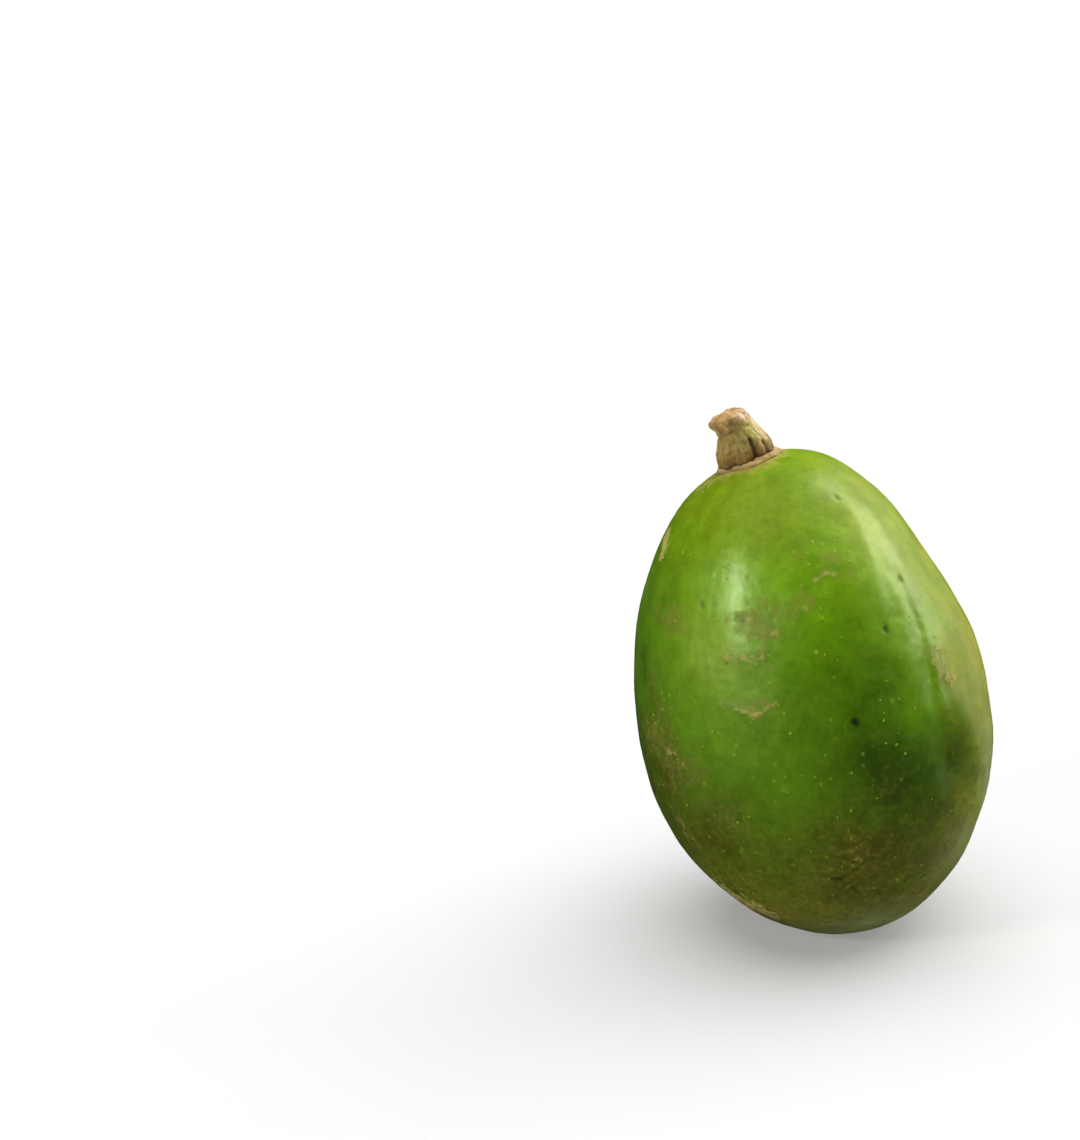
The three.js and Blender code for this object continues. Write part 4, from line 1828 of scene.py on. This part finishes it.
    def relief(
        self, share: np.ndarray, azimuth: np.ndarray, cap: np.ndarray, under_cap: np.ndarray
    ) -> tuple[np.ndarray, np.ndarray]:
        """Works out the ribs, grooves, lumps and clefts.

        Args:
            share: Heights of the points.
            azimuth: Azimuths of the points, in radians.
            cap: How far each point is on the cap.
            under_cap: How far each point is in the pinch under the cap's edge.

        Returns:
            How far the surface stands out, and the painted shade in the grooves and clefts.
        """
        below_cap = 1 - ease(share, *self.ribs_fade)
        swell = self.oval * (1 - share) * np.cos(2 * azimuth)
        slot = np.zeros_like(share)
        for rib in self.ribs:
            swell += rib.at(azimuth) * below_cap
        for groove in self.grooves:
            widening = self.groove_foot - self.groove_narrows * np.clip(share / groove.top, 0, 1)
            side = turn_between(azimuth, math.radians(groove.azimuth)) / widening
            fade = 1 - ease(share, *[end * groove.top for end in self.groove_fade])
            inside = bell(side, math.radians(groove.reach)) * fade
            swell -= groove.depth * inside
            # painted shade in the groove, darker the deeper the groove is
            slot = np.maximum(slot, inside * min(1, groove.depth / self.darkest_depth))
        for lump in self.lumps:
            swell += lump.at(azimuth) * cap
        for cleft in self.clefts:
            swell += cleft.at(azimuth) * cap
            slot = np.maximum(slot, self.cleft_shade * cleft.cover(azimuth) * cap)
        swell -= self.pinch * under_cap
        swell -= self.flat.at(azimuth) * below_cap
        swell += self.swelling.at(azimuth) * (1 - ease(share, *self.swelling_fade))
        return swell, slot

    def surface(
        self, share: np.ndarray, azimuth: np.ndarray, radius: np.ndarray, cap: np.ndarray
    ) -> np.ndarray:
        """Sets the points on the bent stalk, with its rough surface.

        Args:
            share: Heights of the points.
            azimuth: Azimuths of the points, in radians.
            radius: Distances of the points from the stalk's middle, in mm.
            cap: How far each point is on the cap.

        Returns:
            The points in the crown's frame, in mm.
        """
        across = np.cos(azimuth - math.radians(self.cap_side))
        foot = np.clip(1 - share / self.level_from, 0, 1)
        base = self.collar.top(np.minimum(radius, self.collar.radius)) - self.bedding
        level = self.bottom + self.level_from * self.height
        height = self.bottom + share * self.height
        height = np.where(share < self.level_from, base * foot + (1 - foot) * level, height)
        tip = self.cap_tip * ease(share, self.cap_tip_from, 1)
        height += tip * across * np.clip(radius / self.cap_radius, 0, 1)
        centre = self.centre(share)
        rows = np.stack([radius * np.cos(azimuth) + centre, radius * np.sin(azimuth), height], axis=-1)
        rough = self.fine_lumps.at(rows) + (self.lumps_below + cap) * self.coarse_lumps.at(rows)
        rough += (1 - cap) * self.fibres.at(rows * self.fibre_stretch)
        return rows + grid_normals(rows) * rough[..., None]

    def centre(self, share: Any) -> Any:
        """How far the bent stalk's middle has gone to +X at a height, in mm."""
        return self.start_slope * (share * self.height) + self.bend * (share * self.height) ** 2

    def build(self, bark: DryBark) -> bpy.types.Object:
        """Makes the stub with its ribs, slots, cap, stains and painted shade, and a UV map in mm for the fibres.

        Args:
            bark: The finish of the stalk.

        Returns:
            The stalk as a closed mesh.
        """
        radii, shares = self.outline()
        share, azimuth = np.meshgrid(shares, all_round(self.segments), indexing="ij")
        across = np.cos(azimuth - math.radians(self.cap_side))
        lower_edge = (self.cap_left + self.cap_right) / 2 + across * (self.cap_right - self.cap_left) / 2
        cap = ease(share, lower_edge, lower_edge + self.cap_begins)
        under_cap = bell(share - lower_edge, self.pinch_reach) * np.clip(self.pinch_round - across, 0, 1)
        swell, slot = self.relief(share, azimuth, cap, under_cap)
        overhang = bell(share - self.overhang_at, self.overhang_reach)
        swell -= self.overhang * np.clip(across, 0, 1) * overhang
        rows = self.surface(share, azimuth, radii[:, None] * (1 + swell), cap)
        foot = self.plum.crowned(np.array([0.0, 0.0, self.inner_foot]))
        head = self.plum.crowned(np.array([self.centre(1.0), 0.0, self.bottom + self.height]))
        piece = closed_loft("stalk_bark", foot * MM, self.plum.crowned(rows) * MM, head * MM)
        self.wrap(piece, azimuth, share)
        # painted shade under the cap, at the foot's edge and in a dent of the cap, kept with the grooves' own in
        # the slot attribute
        shade = self.under_cap_shade.at(azimuth) * under_cap
        shade += self.edge_shade * bell(share, self.edge_shade_reach)
        shade += self.dent_shade.at(azimuth) * cap * bell(share - self.dent_at, self.dent_reach)
        stains = {
            "slot": np.clip(slot + shade, 0, 1),
            "cap": cap,
            "pink": self.pink.at(azimuth) * cap * (1 - self.pink_lost * ease(share, *self.pink_end)),
            "olive": self.olive.at(azimuth),
            "yellow": self.yellow.at(azimuth) * ease(share, *self.yellow_from),
            "pale": self.pale.at(azimuth),
            "foot": self.foot_stain * (1 - ease(share, *self.foot_stain_end)),
        }
        for name, values in stains.items():
            store(piece, name, values)
        piece.data.materials.append(bark.material())
        return piece

    def wrap(self, piece: bpy.types.Object, azimuth: np.ndarray, share: np.ndarray) -> None:
        """Gives the stub a UV map in mm: round the stalk, and along it.

        Args:
            piece: The stub.
            azimuth: Azimuths of its rings' points, in radians.
            share: Heights of its rings' points.
        """
        around = np.concatenate([[0], (azimuth * self.foot_radius).ravel(), [0]])
        along = np.concatenate([[0], (share * self.height).ravel(), [self.height]])
        corners = np.zeros(len(piece.data.loops), int)
        piece.data.loops.foreach_get("vertex_index", corners)
        u = around[corners]
        # a face that crosses the seam takes its corners from before the seam one turn further on
        sizes = np.array([polygon.loop_total for polygon in piece.data.polygons])
        starts = np.concatenate([[0], np.cumsum(sizes)[:-1]])
        width = np.maximum.reduceat(u, starts) - np.minimum.reduceat(u, starts)
        turn = 2 * math.pi * self.foot_radius
        crosses = np.repeat(width, sizes) > turn / 2
        u = np.where(crosses & (u < 0), u + turn, u)
        layer = piece.data.uv_layers.new(name="bark")
        layer.data.foreach_set("uv", np.stack([u, along[corners]], axis=-1).astype(np.float32).ravel())


# ---------------------------------------------------------------- the studio


class Light(Enum):
    """What a lamp lights: the matt surfaces, or only what shines."""

    MATT = "matt"
    GLOSS = "gloss"


@dataclass(frozen=True)
class Lamp:
    """A far, round lamp: azimuth, elevation and angular width in degrees."""

    name: str
    light: Light
    azimuth: float
    elevation: float
    width: float
    colour: str
    strength: float

    def build(self) -> None:
        """Hangs the lamp. It is far away, so the floor is evenly lit."""
        lamp = bpy.data.lights.new(f"{self.name}_{self.light.value}", "SUN")
        lamp.angle = math.radians(self.width)
        lamp.energy = self.strength
        lamp.color = linear(self.colour)[:3]
        turn, rise = math.radians(self.azimuth), math.radians(self.elevation)
        level = math.cos(rise)
        towards = Vector((level * math.cos(turn), level * math.sin(turn), math.sin(rise)))
        holder = bpy.data.objects.new(lamp.name, lamp)
        holder.rotation_euler = towards.to_track_quat("Z", "Y").to_euler()
        holder.visible_diffuse = self.light is Light.MATT
        holder.visible_glossy = self.light is Light.GLOSS
        bpy.context.collection.objects.link(holder)


@dataclass
class Studio:
    """A plain pale floor, a white screen, soft lamps that hang far away, and the camera.

    The lens is in mm, the camera's elevation in degrees, and its distance and aim in mm. The
    floor and the screen are in metres, but for the gap below the fruit, which is in mm.
    """

    plum: Plum
    lens: float = 106.6
    sensor: float = 36.0
    clip: tuple[float, float] = (0.01, 100.0)
    camera_elevation: float = 20.0
    camera_distance: float = 450.0
    aim_left: float = 35.9
    aim_up: float = 16.6
    floor_half_size: float = 9.0
    floor_gap: float = 0.02
    floor_colour: str = "#acacac"
    floor_roughness: float = 0.95
    floor_glow: float = 0.25
    screen_radius: float = 3.2
    screen_height: float = 2.5
    screen_sides: int = 96
    screen_glow: float = 1.0
    surround: str = "#ffffff"
    surround_strength: float = 0.012
    lamps: tuple[Lamp, ...] = (
        Lamp("key", Light.MATT, -148.0, 27.5, 10.0, "#fffaf0", 1.0),
        Lamp("key_core", Light.GLOSS, -148.0, 27.5, 10.0, "#abb6ff", 4.9),
        Lamp("fill", Light.MATT, -95.0, 8.0, 80.0, "#ffffff", 0.12),
        Lamp("key_glow", Light.GLOSS, -148.0, 24.0, 50.0, "#f0faff", 1.6),
        Lamp("right_panel", Light.MATT, 38.0, 16.0, 60.0, "#ffffff", 3.4),
        Lamp("right_panel", Light.GLOSS, 38.0, 16.0, 60.0, "#ffffff", 0.5),
        Lamp("right_sheen", Light.GLOSS, 16.0, 30.0, 34.0, "#dedef0", 3.4),
        Lamp("upper_sheen", Light.GLOSS, 42.0, 52.0, 26.0, "#dadaff", 1.25),
        Lamp("overhead", Light.MATT, 80.0, 78.0, 80.0, "#ffffff", 4.6),
    )

    def build(self) -> None:
        """Makes the floor, the screen, the lamps, the surround and the camera."""
        self.floor()
        self.screen()
        for lamp in self.lamps:
            lamp.build()
        self.world()
        self.camera()

    def staged(
        self, name: str, points: list, faces: list, finish: bpy.types.Material
    ) -> bpy.types.Object:
        """Sets up a piece of the stage, which is no part of the fruit.

        Args:
            name: The piece's name.
            points: Its corners, in metres.
            faces: Its faces, as numbers of corners.
            finish: Its material.

        Returns:
            The piece, out of sight of anything that shines.
        """
        mesh = bpy.data.meshes.new(name)
        mesh.from_pydata(points, [], faces)
        mesh.materials.append(finish)
        piece = bpy.data.objects.new(name, mesh)
        piece.visible_glossy = False
        bpy.context.collection.objects.link(piece)
        return piece

    def floor(self) -> None:
        """Lays a wide sheet of matt white studio paper, lit a little from below as on a light table."""
        half, z = self.floor_half_size, -self.floor_gap * MM
        values = {
            "Base Color": linear(self.floor_colour),
            "Roughness": self.floor_roughness,
            "Specular IOR Level": 0.0,
            "Emission Color": linear(self.surround),
            "Emission Strength": self.floor_glow,
        }
        paper = finish_off(empty_material("matt_studio_paper"), values)
        corners = [(-half, -half, z), (half, -half, z), (half, half, z), (-half, half, z)]
        self.staged("studio_floor", corners, [(0, 1, 2, 3)], paper)

    def screen(self) -> None:
        """Stands a white screen all round. It only closes the view, and lights nothing."""
        turns = all_round(self.screen_sides)
        foot = self.screen_radius * np.stack([np.cos(turns), np.sin(turns), 0 * turns], axis=-1)
        points = np.concatenate([foot, foot + [0, 0, self.screen_height]]).tolist()
        sides = self.screen_sides
        pairs = [(here, (here + 1) % sides) for here in range(sides)]
        faces = [(here, here + sides, there + sides, there) for here, there in pairs]
        made = empty_material("white_screen")
        inputs = {"Color": linear(self.surround), "Strength": self.screen_glow}
        glow = add_node(made.node_tree, "ShaderNodeEmission", inputs)
        add_node(made.node_tree, "ShaderNodeOutputMaterial", {"Surface": glow})
        screen = self.staged("studio_backdrop", points, faces, made)
        screen.visible_diffuse = screen.visible_shadow = False

    def world(self) -> None:
        """Fills the room with a faint even light."""
        world = bpy.data.worlds.new("surround")
        world.use_nodes = True
        world.node_tree.nodes.clear()
        inputs = {"Color": linear(self.surround), "Strength": self.surround_strength}
        glow = add_node(world.node_tree, "ShaderNodeBackground", inputs)
        add_node(world.node_tree, "ShaderNodeOutputWorld", {"Surface": glow})
        bpy.context.scene.world = world

    def camera(self) -> None:
        """Looks along +Y and down, past the fruit's left, as a person at a table would."""
        turn = math.radians(self.camera_elevation)
        ahead = Vector((0, math.cos(turn), -math.sin(turn)))
        up = Vector((0, math.sin(turn), math.cos(turn)))
        target = Vector(self.plum.offset) + Vector((-self.aim_left, 0, 0)) + self.aim_up * up
        data = bpy.data.cameras.new("camera")
        data.sensor_width = self.sensor
        data.lens = self.lens
        data.clip_start, data.clip_end = self.clip
        holder = bpy.data.objects.new("camera", data)
        holder.location = (target - self.camera_distance * ahead) * MM
        holder.rotation_euler = ahead.to_track_quat("-Z", "Y").to_euler()
        bpy.context.collection.objects.link(holder)
        bpy.context.scene.camera = holder
        bpy.context.scene.view_settings.view_transform = "Standard"


def main() -> None:
    """Builds the fruit, its collar and its stalk, dresses them, and sets up the studio."""
    plum = Plum()
    LOG.info("the body's middle is at %s mm", np.round(plum.offset, 3))
    skin = plum.build(WaxyPeel())
    settle(skin, Slot.SKIN, "fruit")
    dots = Strewing(
        "lenticels",
        "dots",
        spacing=0.6,
        density=0.12,
        smallest=0.1,
        largest=0.24,
        flatness=0.11,
        seed=11,
    )
    settle(dots.build(skin, PaleLenticel().material()), Slot.SKIN)
    clear = PaleLenticel(name="clear_lenticel", colour="#7c9c2c", brown="#787c26")
    settle(ClearDots().build(plum, skin, clear.material()), Slot.SKIN)
    cork = DryCork(name="scar_cork", light="#a09650", dark="#6a5c24", pink="#98904a")
    crumbs = Strewing(
        "scar_crumbs",
        "crumbs",
        spacing=0.22,
        density=9.0,
        smallest=0.08,
        largest=0.2,
        flatness=0.45,
        seed=12,
    )
    settle(crumbs.build(skin, cork.material()), Slot.SKIN)
    collar = Collar(plum)
    rim = collar.build(DryCork(name="calyx_cork", light="#a8945c", dark="#92743a", pink="#a88a5c"))
    settle(rim, Slot.CALYX, "calyx_collar")
    stalk = Stalk(plum, collar)
    settle(stalk.build(DryBark()), Slot.STALK, "stalk")
    Studio(plum).build()


if __name__ == "__main__":
    main()
